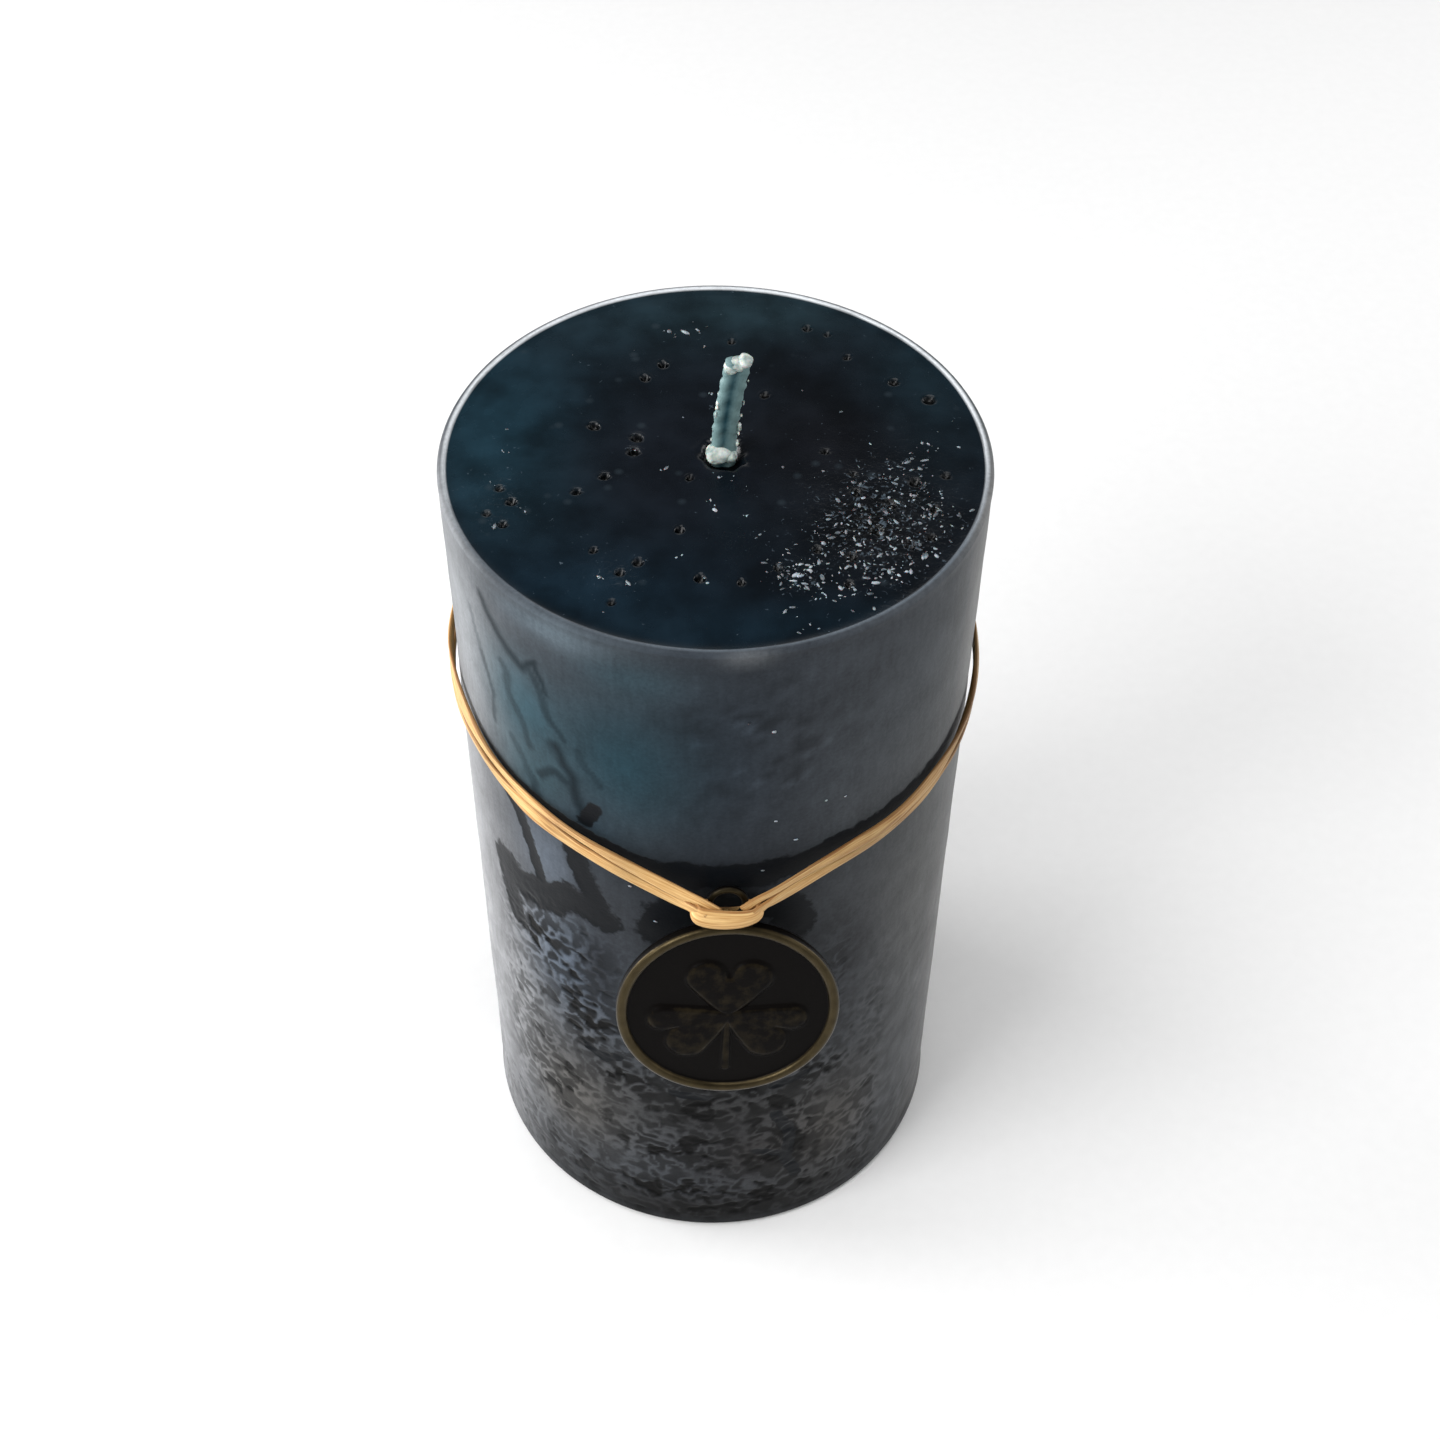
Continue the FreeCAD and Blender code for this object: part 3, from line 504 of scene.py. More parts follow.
def antique_bronze():
    """Zinc casting plated and blackened, then rubbed: brown-black in the hollows, with brass
    showing along the rim and faintly on the raised leaves."""
    material, tree, shader = new_material("cast zinc, antique bronze plate", Roughness=0.4)
    rubbed = add_node(tree, "ShaderNodeAttribute", attribute_name="Rubbed").outputs["Fac"]
    place = add_node(tree, "ShaderNodeTexCoord").outputs["Object"]
    # Blotches of the blackening, 2 mm, and the casting's 0.3 mm grain.
    blotch = add_node(
        tree, "ShaderNodeTexNoise", {"Vector": place, "Scale": 1 / (2 * MM), "Detail": 5.0, "Roughness": 0.6}
    ).outputs["Fac"]
    grit = add_node(
        tree, "ShaderNodeTexNoise", {"Vector": place, "Scale": 1 / (0.3 * MM), "Detail": 2.0}
    ).outputs["Fac"]
    worn = add_node(tree, "ShaderNodeMath", {0: blotch, 1: 0.9, 2: rubbed}, operation="MULTIPLY_ADD").outputs[0]
    worn = add_node(
        tree, "ShaderNodeMapRange", {"Value": worn, "From Min": 0.7, "From Max": 1.75}
    ).outputs[0]
    colour = add_node(
        tree, "ShaderNodeMix", {0: worn, 6: linear("0a0807"), 7: linear("4a412e")}, data_type="RGBA"
    ).outputs[2]
    tree.links.new(colour, shader.inputs["Base Color"])
    plate = add_node(
        tree, "ShaderNodeMapRange", {"Value": worn, "From Min": 0.0, "From Max": 0.6, "To Min": 0.0, "To Max": 0.95}
    ).outputs[0]
    tree.links.new(plate, shader.inputs["Metallic"])
    dull = add_node(
        tree, "ShaderNodeMapRange", {"Value": grit, "From Min": 0.3, "From Max": 0.7, "To Min": 0.3, "To Max": 0.42}
    ).outputs[0]
    tree.links.new(dull, shader.inputs["Roughness"])
    shader.inputs["Specular IOR Level"].default_value = 0.04
    bump = add_node(
        tree, "ShaderNodeBump", {"Height": grit, "Strength": 0.25, "Distance": 0.05 * MM}
    ).outputs[0]
    tree.links.new(bump, shader.inputs["Normal"])
    return material


def tin_plate():
    """Tinned sheet steel, stamped: grey and satin, with rolling lines and duller specks of old wax."""
    material, tree, shader = new_material("tin plate, stamped", Roughness=0.35, Metallic=0.9)
    place = add_node(tree, "ShaderNodeTexCoord").outputs["Object"]
    lines_at = add_node(tree, "ShaderNodeMapping", {"Vector": place, "Scale": (1.0, 0.06, 1.0)}).outputs[0]
    # Rolling lines, 0.3 mm apart.
    lines = add_node(
        tree, "ShaderNodeTexNoise", {"Vector": lines_at, "Scale": 1 / (0.3 * MM), "Detail": 2.0}
    ).outputs["Fac"]
    colour = add_node(
        tree, "ShaderNodeMix", {0: lines, 6: linear("85857f"), 7: linear("b9b9b2")}, data_type="RGBA"
    ).outputs[2]
    tree.links.new(colour, shader.inputs["Base Color"])
    dull = add_node(tree, "ShaderNodeMapRange", {"Value": lines, "To Min": 0.25, "To Max": 0.5}).outputs[0]
    tree.links.new(dull, shader.inputs["Roughness"])
    return material


WALL_WAX = frosted_wax()
TOP_WAX = poured_wax()
PRIMING_WAX = pale_wax("paraffin, undyed priming wax", "7f908d", "d3dad4", 1.2)
CRUMB_WAX = pale_wax("paraffin, white crystal crumbs", "232d36", "a9b4bc", 3.0)
COTTON = waxed_cotton()
RAFFIA = raffia()
BRONZE = antique_bronze()
TIN = tin_plate()


# ---------------------------------------------------------------- wax

# Tints of the wall's bloom: degrees from the front, height, reach in degrees, reach in height, colour.
# The pale tints at -80, -70, -57, 74 and 86 degrees are painted highlight, standing for the grazing sheen at the
# candle's edges, and the dark tint at height 4 is painted shade towards the floor.
WALL_TINTS_AND_PAINTED_LIGHT = [
    (0, 110, 24, 26, "313c48"), (-22, 108, 15, 13, "2c5564"), (-50, 110, 15, 9, "2b6272"),
    (-45, 99, 12, 6, "3f6470"), (-70, 116, 13, 16, "a9b0b5"), (42, 108, 26, 24, "5b6269"),
    (0, 86, 22, 8, "1f242b"), (-43, 83, 9, 8, "74808f"), (-30, 95, 7, 6, "3a4c58"),
    (50, 70, 26, 34, "6a6c6d"), (28, 62, 10, 16, "45484d"), (-57, 42, 14, 30, "929497"),
    (-40, 60, 14, 12, "5b6776"), (0, 34, 34, 12, "343332"), (-38, 27, 17, 13, "5c5a57"),
    (28, 21, 13, 13, "6a6763"), (-42, 26, 9, 8, "6c6a67"), (-30, 63, 5, 9, "2a2e35"),
    (0, 4, 75, 8, "1b1917"), (10, 20, 22, 9, "363332"), (-80, 60, 19, 80, "e6e7ea"),
    (86, 58, 27, 90, "b0afad"), (74, 112, 10, 20, "bcbbb9"), (120, 105, 34, 26, "3f5c66"),
    (-140, 60, 40, 40, "585b60"),
    (-36, 127.5, 14, 2.2, "8496a2"), (4, 129, 5, 1.2, "8a8f94"), (-20, 124, 10, 3, "4a6470"),
    (160, 50, 30, 24, "474b52"), (-110, 112, 26, 16, "46545e"), (170, 118, 34, 12, "3a444f"),
]

# Bare dark wax, with some painted shade marked below: half width, how bare it is, then points in degrees from the front
# and height.
BARE_AND_SHADE_STROKES = [
    (1.2, 1, (-55, 91), (-50, 88), (-47, 82), (-45, 77)), (2.0, 1, (-35, 89), (-33, 84), (-29, 78)),
    (3.6, 1, (-57, 73), (-50, 72), (-42, 74)), (3.0, 1, (-42, 74), (-36, 77), (-28, 75)),
    (2.4, 1, (-58, 70), (-55, 63)), (1.2, 0.5, (-31, 95), (-28.5, 98)),
    # Painted shade: the next two strokes either side of the bail and the one behind the hitch stand for the shadow in
    # the gap between the medal's top and the wall.
    (3.3, 1, (-15, 75.5), (-13.5, 79.5), (-8, 82)), (3.1, 1, (8, 82), (13.5, 80.5), (16, 76)),
    (2.6, 1, (-8, 82), (8, 82)),
    (4.6, 0.2, (-7, 73), (-2, 76), (5, 73.5)), (3.2, 0.12, (-4, 66), (3, 62), (8, 57)),
    # Painted shadow just above the hitch.
    (2.0, 1, (-12, 89.5), (0, 89.0), (12, 89.5)),
    (1.0, 1, (-34, 42.5), (-30, 41.5), (-26, 43)), (0.9, 1, (-12, 37), (-4, 36.5)),
    (0.9, 1, (12, 38), (20, 39)),
    (1.1, 1, (13, 30), (17, 24), (16, 17), (19, 12)), (0.8, 1, (8, 21), (14, 19)),
    (3.5, -0.06, (104, 36), (112, 50), (126, 60)), (4.5, -0.05, (148, 86), (158, 79), (170, 76)),
    (4.0, -0.05, (-154, 32), (-142, 42), (-130, 44)), (3.0, -0.07, (-120, 84), (-112, 78), (-98, 80)),
    # Painted shade: these two darken the wax a little in a band round the foot, towards the floor.
    (7.0, -0.1, (48, 8), (110, 10), (179, 7)), (7.0, -0.1, (-179, 7), (-120, 11), (-66, 8)),
]
# Thin streaks where the bloom is lighter over dark blue-green wax: half width, depth, points.
STREAKS = [
    (1.3, 0.8, (-58, 125), (-54, 122), (-50, 119.5), (-45, 118)), (0.9, 0.8, (-45, 118), (-41, 120.5), (-39, 116)),
    (0.9, 0.6, (-43, 119), (-39, 113), (-36, 109)), (1.4, 0.9, (-38, 107), (-34, 102.5), (-31, 96)),
    (1.0, 0.7, (-42, 99.5), (-38, 102), (-35, 101)), (0.8, 0.55, (-60, 114), (-56, 108), (-57, 103)),
    (1.0, 0.5, (-52, 116), (-48, 109), (-44, 104)), (0.9, 0.45, (-50, 103), (-46, 99), (-43, 95)),
    (0.7, 0.35, (-64, 120), (-60, 114)), (0.9, 0.4, (-32, 108), (-27, 103)),
]
# Painted shadow of the raffia: dark wax laid along its path and just above it, where the cord shades the wall: degrees,
# half width.
CORD_SHADOW_PATH = (
    [-178, -60, -44, -20, 0, 14, 40, 66, 90, 178],
    [0.6, 0.6, 1.0, 1.3, 1.6, 1.9, 2.1, 1.9, 0.7, 0.6],
)

# Where the bloom is broken by worm-like gaps: degrees, height, reach in degrees, reach in height, strength.
BROKEN_PATCHES = [
    (-43, 63, 15, 9, 1.0), (-34, 50, 11, 10, 1.0), (-52, 46, 10, 12, 0.6), (-22, 38, 14, 8, 1.0),
    (0, 35, 24, 7, 1.0), (20, 39, 13, 6, 0.95), (15, 24, 13, 13, 0.95), (-12, 22, 24, 11, 0.8),
    (26, 60, 5, 12, 0.45), (-45, 30, 18, 13, 0.7), (0, 9, 60, 9, 0.8), (36, 22, 14, 13, 0.55),
    (38, 42, 10, 14, 0.3), (1, 67, 9, 9, 0.8), (-3, 54, 10, 8, 0.8),
]
# Where dark and pale specks show above the cord: degrees, height, reach in degrees, reach in height.
SPECKLE = (7, 113, 17, 11)

# Gas pits in the top: place, radius and depth.
TOP_PITS = [
    (-6.0, 18.2, 0.8, 1.1), (-8.4, 15.5, 0.75, 0.9), (-15.2, 6.3, 0.85, 0.8), (-9.8, 3.8, 0.9, 0.9),
    (-10.3, 1.2, 0.9, 1.0), (-14.0, -3.3, 0.75, 0.9), (-17.5, -6.0, 0.7, 0.9), (-5.0, -13.4, 0.7, 1.0),
    (18.2, 18.7, 0.6, 0.8), (23.8, 13.3, 0.8, 0.6), (28.0, 9.6, 1.0, 0.6), (13.4, 25.0, 0.7, 0.8),
    (16.0, 23.6, 0.5, 0.7), (3.2, 22.6, 0.6, 0.5), (13.8, 0.2, 0.6, 0.7), (6.9, 11.4, 0.7, 0.4),
    (-15.5, -16.5, 0.6, 0.7), (-10.2, -18.8, 0.8, 0.8), (-12.4, -20.5, 0.7, 0.8), (-2.9, -21.9, 0.8, 1.0),
    (2.0, -22.8, 0.6, 0.7), (-27.0, -5.0, 0.7, 0.6), (-25.5, -7.5, 0.8, 0.7), (-28.5, -9.5, 0.6, 0.6),
    (-26.5, -11.5, 0.7, 0.6), (17.0, -7.6, 0.8, 0.8), (21.0, -10.0, 0.9, 0.8), (24.5, -6.0, 0.9, 0.7),
    (26.5, -11.0, 0.8, 0.8), (19.0, -14.5, 0.9, 0.8), (22.8, -17.2, 0.9, 0.8), (15.5, -19.0, 0.8, 0.7),
    (25.5, -16.0, 0.7, 0.7), (11.5, -17.5, 0.7, 0.7), (14.8, -23.6, 0.7, 0.7), (28.5, -5.0, 0.7, 0.6),
    (6.5, -20.5, 0.6, 0.6), (17.0, -4.2, 0.6, 0.6), (-13.5, -25.5, 0.6, 0.5), (-3.4, -4.0, 0.6, 0.5),
]
# Crystals set in the top: place, reach each way, strength.
CRYSTAL_PATCHES = [(20, -13, 11, 13, 1.0), (9, -22, 4, 4, 0.9), (-27, -7, 4, 7, 0.5), (-13, -21, 4, 4, 0.6)]
# Tints of the top: place, reach each way, colour.
TOP_TINTS = [
    (20, -13, 11, 12, "05070c"), (-27, 6, 11, 20, "23495a"), (-14, 27, 14, 9, "1d3440"),
    (6, 29, 16, 6, "27404a"), (-18, -24, 16, 9, "132f40"), (6, -31, 26, 5, "0f2938"),
    (28, 14, 8, 16, "17303c"), (14, 2, 12, 10, "0d1018"), (-8, 0, 14, 14, "0f1722"),
]

# The lip's crest, how far the top lies below it, the mesh's cell before it is refined, and the
# melted well round the wick.
LIP_RADIUS = 34.0
TOP_DIP = 0.25
CELL = 1.25
WELL_RADIUS = 2.9


# How bright the bloom's tints are laid on, and the dark wax that shows in its thin streaks.
BLOOM = 0.42
STREAK_WAX = "0f232d"


def wax_profile(bm):
    """Half section of the candle, from the middle of the tab's recess to the middle of the top."""
    corners = [
        (0, 1.2), (10.3, 1.2), (10.3, 0), (RADIUS - 0.8, 0), (RADIUS - 0.25, 0.25), (RADIUS, 0.8),
        (RADIUS, HEIGHT - 0.9), (RADIUS - 0.07, HEIGHT - 0.5), (RADIUS - 0.25, HEIGHT - 0.2),
        (RADIUS - 0.5, HEIGHT - 0.05), (LIP_RADIUS + 0.15, HEIGHT - 0.01), (LIP_RADIUS, HEIGHT - 0.08),
        (LIP_RADIUS - 0.3, HEIGHT - TOP_DIP), (0, HEIGHT - TOP_DIP),
    ]
    verts = [bm.verts.new((r, 0, z)) for r, z in corners]
    edges = [bm.edges.new(pair) for pair in zip(verts, verts[1:])]
    for edge in edges:
        cuts = int(edge.calc_length() / CELL)
        if cuts:
            bmesh.ops.subdivide_edges(bm, edges=[edge], cuts=cuts)
    return bm.verts[:] + bm.edges[:]


def refine(bm, wanted, cuts):
    """Divide the faces whose middle is wanted, so that fine detail has the vertices it needs."""
    edges = {edge for face in bm.faces if wanted(face.calc_center_median()) for edge in face.edges}
    bmesh.ops.subdivide_edges(bm, edges=list(edges), cuts=cuts, use_grid_fill=True)


def in_worked_area(middle):
    """The part of the wall where the bloom is broken up."""
    if middle.z > 77 or middle.z < 2 or math.hypot(middle.x, middle.y) < RADIUS - 0.4:
        return False
    return -63 < math.degrees(math.atan2(middle.x, -middle.y)) < 42


def in_upper_figure(middle):
    """The part of the wall where bare streaks run down from the lip, at the left."""
    return 77 < middle.z < 126 and -64 < math.degrees(math.atan2(middle.x, -middle.y)) < -25


def near_a_pit(middle):
    """The part of the top round each gas pit and round the wick."""
    if middle.z < HEIGHT - 0.4:
        return False
    if math.hypot(middle.x - WICK_X, middle.y) < WELL_RADIUS + 1.2:
        return True
    return any(math.hypot(middle.x - x, middle.y - y) < radius + 0.9 for x, y, radius, _ in TOP_PITS)


def fade(aside, above, reach_x, reach_y):
    """1 at the middle of a patch, fading out smoothly each way."""
    return np.exp(-((aside / reach_x) ** 2) - (above / reach_y) ** 2)


def patch_field(across, up, patches):
    """How strong the strongest of these patches is at each point."""
    field = np.zeros(len(across))
    for x, y, reach_x, reach_y, share in patches:
        field = np.maximum(field, share * fade(across - x, up - y, reach_x, reach_y))
    return field


def blend_tints(across, up, tints, base, strength):
    """The base colour with each tint laid over it, fading out with distance."""
    colours = np.tile(np.array(linear(base)), (len(across), 1))
    for x, y, reach_x, reach_y, tint in tints:
        # Half a turn is farther than any reach, so the nearer way round the back counts.
        aside = (across - x + 180) % 360 - 180
        share = fade(aside, up - y, reach_x, reach_y)[:, None] * 0.85
        colours = colours * (1 - share) + np.array(linear(tint)) * share
    return colours * strength


def curls(points):
    """Curled ridges of bloom: 1 along a ridge, 0 in the hollows between. The ridges follow the
    contour lines of warped lumps."""
    warp = np.stack([lumps(points, 2.0, seed) for seed in (11, 12, 13)], axis=1)
    line = 1 - 2.8 * np.abs(lumps(points + warp * 1.2, 1.6, 14))
    return smoothstep(-0.1, 0.95, line + 0.5 * lumps(points, 0.75, 15))


def hollows(points, strength):
    """Pools where the bloom is gone: 1 in a pool, 0 on the bloom."""
    pools = lumps(points, 2.4, 16) + 0.5 * lumps(points, 1.1, 17) + 0.5 * strength
    return smoothstep(0.66, 0.86, pools) * np.minimum(1, strength * 1.4)


def wax_blank():
    """The cylinder turned from its half section, and divided finely where detail comes."""
    bm = bmesh.new()
    profile = wax_profile(bm)
    bmesh.ops.spin(
        bm, geom=profile, cent=(0, 0, 0), axis=(0, 0, 1), angle=2 * math.pi, steps=176, use_merge=True
    )
    bmesh.ops.remove_doubles(bm, verts=bm.verts, dist=0.001)
    refine(bm, in_worked_area, 3)
    refine(bm, in_upper_figure, 2)
    refine(bm, near_a_pit, 3)
    bmesh.ops.recalc_face_normals(bm, faces=bm.faces)
    for face in bm.faces:
        middle = face.calc_center_median()
        on_top = middle.z > HEIGHT - 0.6 and math.hypot(middle.x, middle.y) < LIP_RADIUS
        face.material_index = 1 if on_top else 0
    return bm


def top_sink(points, crystal):
    """How far the top stands up or sinks: soft waves, crystals, gas pits and the well round the wick."""
    x, y = points[:, 0], points[:, 1]
    sink = 0.06 * lumps(points, 9, 33) + 0.05 * crystal * lumps(points, 0.9, 34)
    for pit_x, pit_y, pit_radius, depth in TOP_PITS:
        away = np.hypot(x - pit_x, y - pit_y) / pit_radius
        rim = 0.06 * np.exp(-(((away - 1.15) / 0.2) ** 2))
        sink = sink - depth * (1 - smoothstep(0.45, 1.0, away)) + rim
    away = np.hypot(x - WICK_X, y) * (1 + 0.22 * lumps(points, 2.2, 35) + 0.1 * lumps(points, 0.9, 36))
    rim = 0.07 * np.exp(-(((away - 3.3) / 0.5) ** 2))
    return sink - 1.3 * (1 - smoothstep(1.9, WELL_RADIUS, away)) + rim


def wax_body():
    """The poured cylinder: frosted wall with broken bloom, rolled lip, and a glossy pitted top."""
    piece = new_piece("wax", wax_blank(), "candle", [WALL_WAX, TOP_WAX], ["wax_body"])
    mesh = piece.data
    points = np.array([v.co for v in mesh.vertices]) / MM
    x, y, z = points.T
    reach = np.hypot(x, y)
    degrees = np.degrees(np.arctan2(x, -y))
    around = np.radians(degrees) * RADIUS
    wall = (reach > RADIUS - 1.2) & (z > 0.3)
    top = (z > HEIGHT - 0.6) & (reach < LIP_RADIUS)

    strength = np.where(wall & (z < 78), patch_field(degrees, z, BROKEN_PATCHES), 0)
    ridge = curls(points)
    pool = hollows(points, strength)
    crumbs = 0.6 * lumps(points * (1, 1, 0.7), 1.3, 21) + 0.4 * lumps(points, 0.7, 22)
    worked = smoothstep(80, 45, z) * 0.8 + 0.2
    relief = (1 + 0.4 * crumbs * worked) * (1 - strength) + strength * (0.1 + 1.9 * ridge)
    relief = relief * (1 - 0.95 * pool)
    speckle_at, speckle_level, speckle_x, speckle_z = SPECKLE
    speckle = fade(degrees - speckle_at, z - speckle_level, speckle_x, speckle_z)
    relief = relief * (1 - 0.5 * speckle * smoothstep(0.15, 0.5, lumps(points, 1.6, 23)))
    relief = relief + 0.7 * speckle * smoothstep(0.4, 0.7, lumps(points, 1.4, 24))

    bare_and_shade = stroke_field(around, z, BARE_AND_SHADE_STROKES)
    route = sorted(LEFT_ROUTE + RIGHT_ROUTE)
    cord_level = np.interp(degrees, [p[0] for p in route], [p[1] for p in route])
    # Painted shadow: a dark band along the cord, centred 0.8 mm above its route.
    rubbed = 1 - np.abs(z - cord_level - 0.8) / np.interp(degrees, *CORD_SHADOW_PATH)
    bare_and_shade = np.where(wall, np.maximum(bare_and_shade, rubbed), -2)

    crystal = patch_field(x, y, CRYSTAL_PATCHES)
    # The pits and the well round the wick are in their own shade.
    pit_shade = np.ones(len(points))
    for pit_x, pit_y, pit_radius, _ in TOP_PITS + [(WICK_X, 0, 2.6, 1)]:
        pit_shade *= 1 - 0.96 * (1 - smoothstep(0.6, 1.15, np.hypot(x - pit_x, y - pit_y) / pit_radius))
    tint = np.where(
        top[:, None],
        blend_tints(x, y, TOP_TINTS, "0e1a25", 0.45) * pit_shade[:, None],
        blend_tints(degrees, z, WALL_TINTS_AND_PAINTED_LIGHT, "545960", BLOOM),
    )
    # Painted highlight: the rounded shoulder is lightened, and the lip's crest gets a pale line that turns near white
    # towards the back, standing for the light it catches there.
    tint[wall & (z > HEIGHT - 0.75)] *= 1.35
    lip = (np.abs(reach - LIP_RADIUS - 0.15) < 0.2) & (z > HEIGHT - 0.3)
    behind = smoothstep(50, 110, np.abs(degrees))[lip][:, None]
    tint[lip] = np.array(linear("5b636b")) * (1 - behind) + np.array(linear("d2d6da")) * behind
    ragged = around + 0.7 * lumps(points, 2.2, 25)
    streak = np.where(wall, np.clip(stroke_field(ragged, z, STREAKS), 0, 1), 0)[:, None]
    tint = tint * (1 - streak) + BLOOM * np.array(linear(STREAK_WAX)) * streak
    set_attribute(mesh, "Tint", "FLOAT_COLOR", tint)
    set_attribute(mesh, "Bare", "FLOAT", np.where(top, crystal, bare_and_shade))
    set_attribute(mesh, "Relief", "FLOAT", np.where(top, 1, relief))

    swell = 0.12 * lumps(points, 24, 31) + 0.05 * lumps(points, 6, 32)
    push = swell + 0.03 * crumbs * worked + 0.1 * ridge * strength - 0.14 * pool
    push = push - 0.05 * smoothstep(0, 0.5, bare_and_shade) - 0.2
    push = np.where(wall & (z > 1.2) & (z < HEIGHT - 0.6), push, 0)
    sink = np.where(top & (reach < LIP_RADIUS - 0.4), top_sink(points, crystal), 0)
    points[:, :2] *= (1 + push / np.maximum(reach, 1))[:, None]
    points[:, 2] += sink
    mesh.vertices.foreach_set("co", (points * MM).astype(np.float32).ravel())
    mesh.update()
    return piece


# White crusts and specks on the top: place, how many crumbs, how far they spread, their size.
TOP_CRUMBS = [
    (-1.8, 25.8, 5, 0.9, 0.6), (-5.6, 25.2, 3, 0.5, 0.4), (-4.2, 24.6, 3, 0.4, 0.4), (-0.6, 21.8, 2, 0.2, 0.45),
    (-17.8, 20.6, 1, 0.1, 0.35), (-0.3, 12.0, 2, 0.3, 0.4), (-3.8, 7.5, 1, 0.1, 0.3), (-10.2, 1.4, 1, 0.1, 0.35),
    (-6.6, -2.6, 2, 0.3, 0.5), (-1.3, -8.5, 2, 0.2, 0.45), (-0.5, -9.8, 2, 0.2, 0.35), (-5.4, -17.9, 2, 0.4, 0.45),
    (-2.5, -22.3, 2, 0.4, 0.5), (11.7, 12.0, 1, 0.1, 0.35), (16.3, 7.8, 1, 0.2, 0.4), (19.6, 1.2, 1, 0.1, 0.35),
    (13.2, -3.5, 1, 0.1, 0.4), (3.4, -11.7, 3, 0.5, 0.4), (5.2, -14.8, 4, 0.8, 0.35), (-26.4, 1.7, 3, 0.4, 0.35),
    (-26.2, 6.0, 1, 0.1, 0.3), (-28.0, -4.0, 2, 0.3, 0.35), (-27.8, -11.9, 2, 0.2, 0.35), (-24.5, -8.5, 2, 0.6, 0.3),
    (-14.4, -21.4, 3, 0.5, 0.4), (-11.6, -22.2, 2, 0.4, 0.35), (8.6, -21.4, 48, 1.5, 0.44), (10.6, -24.8, 26, 1.8, 0.42),
    (15.0, -13.5, 40, 2.4, 0.36), (19.5, -8.5, 44, 2.8, 0.34), (25.0, -4.0, 40, 2.8, 0.36), (21.5, -15.0, 80, 3.4, 0.36),
    (26.5, -12.0, 40, 2.0, 0.34), (15.0, -18.5, 50, 2.8, 0.36), (19.5, -20.5, 50, 2.4, 0.36), (24.3, -19.2, 22, 1.4, 0.38),
    (15.0, -24.5, 10, 1.6, 0.36), (8.4, -28.0, 5, 1.2, 0.36), (8.0, -31.0, 4, 0.7, 0.36), (12.5, -30.5, 4, 0.9, 0.32),
    (17.0, -28.5, 5, 1.5, 0.3), (27.5, 0.0, 6, 1.2, 0.3), (30.5, 5.5, 1, 0.2, 0.35), (-10.0, 21.2, 1, 0.1, 0.3),
    (3.5, -6.0, 1, 0.2, 0.25), (8.4, -2.6, 1, 0.2, 0.35), (-9.2, -18.4, 1, 0.1, 0.3), (-14.5, -27.0, 1, 0.2, 0.3),
    (0.5, -3.8, 3, 0.7, 0.3), (1.6, -4.3, 2, 0.4, 0.25),
]
# Lone white specks on the wall: degrees from the front and height.
WALL_CRUMBS = [
    (7.6, 89.4), (-21, 84.5), (-15.5, 78), (21, 100.6), (14.5, 94.5), (10, 99), (25.5, 100), (4, 118), (9, 116),
]


def loose_crumbs():
    """Loose white wax crystals on the top and a few specks on the wall."""
    chance = random.Random(5)
    bm = bmesh.new()

    def crumb(place, turn, size):
        shape = Matrix.Diagonal((size * chance.uniform(0.6, 1.5), size * chance.uniform(0.3, 0.7), size * 0.3, 1))
        matrix = Matrix.Translation(place) @ turn @ shape
        bmesh.ops.create_icosphere(bm, subdivisions=1, radius=0.5, matrix=matrix)

    for x, y, count, spread, size in TOP_CRUMBS:
        for _ in range(count):
            at = Vector((x + chance.gauss(0, spread), y + chance.gauss(0, spread), HEIGHT - TOP_DIP + 0.04))
            if math.hypot(at.x, at.y) > LIP_RADIUS - 1:
                continue
            turn = Matrix.Rotation(chance.uniform(0, math.pi), 4, "Z")
            turn = turn @ Matrix.Rotation(chance.uniform(-0.4, 0.4), 4, "X")
            crumb(at, turn, size * chance.choice((0.45, 0.6, 0.8, 1.0, 1.4, 2.3)))
    for degrees, level in WALL_CRUMBS:
        turn = Matrix.Rotation(math.radians(degrees), 4, "Z") @ Matrix.Rotation(math.pi / 2, 4, "X")
        crumb(on_wall(degrees, level, -0.05), turn, 0.55)
    for vert in bm.verts:
        vert.co += Vector([chance.uniform(-0.05, 0.05) for _ in range(3)])
    bmesh.ops.recalc_face_normals(bm, faces=bm.faces)
    return new_piece("wax_crumbs", bm, "candle", [CRUMB_WAX])


# ---------------------------------------------------------------- wick


def wick():
    """Flat braid, leaning, with a groove down its middle and the wax's small scallops on its edges."""
    foot = HEIGHT - 3
    line = smooth_line(
        [(WICK_X, 0, foot), (WICK_X, 0, HEIGHT), (WICK_X + 0.25, 0.1, HEIGHT + 4),
         (WICK_X + 0.75, 0, HEIGHT + 9), (WICK_X + WICK_LEAN, 0, HEIGHT + WICK_STUB + 0.2)],
        0.22,
    )
    length = HEIGHT + WICK_STUB - foot

    def shape(share, angle):
        up = share * length
        flat = math.cos(angle)
        braid = math.sin(up * 2 * math.pi / 2.4 + abs(flat) * 3.0)
        scallop = 0.07 * max(0, math.sin(up * 6.1 + 2 * flat)) + 0.06 * math.sin(up * 3.7)
        wide = 1.55 + scallop * abs(flat) ** 4 + 0.05 * braid
        thick = 0.95 * (1 - 0.22 * math.exp(-((flat / 0.35) ** 2))) + 0.07 * braid
        return wide * flat, thick * math.sin(angle)

    bm = sweep(line, lambda point: Vector((0, -1, 0)), 40, shape)
    return new_piece("wick", bm, "candle", [COTTON], ["wick_braid"])


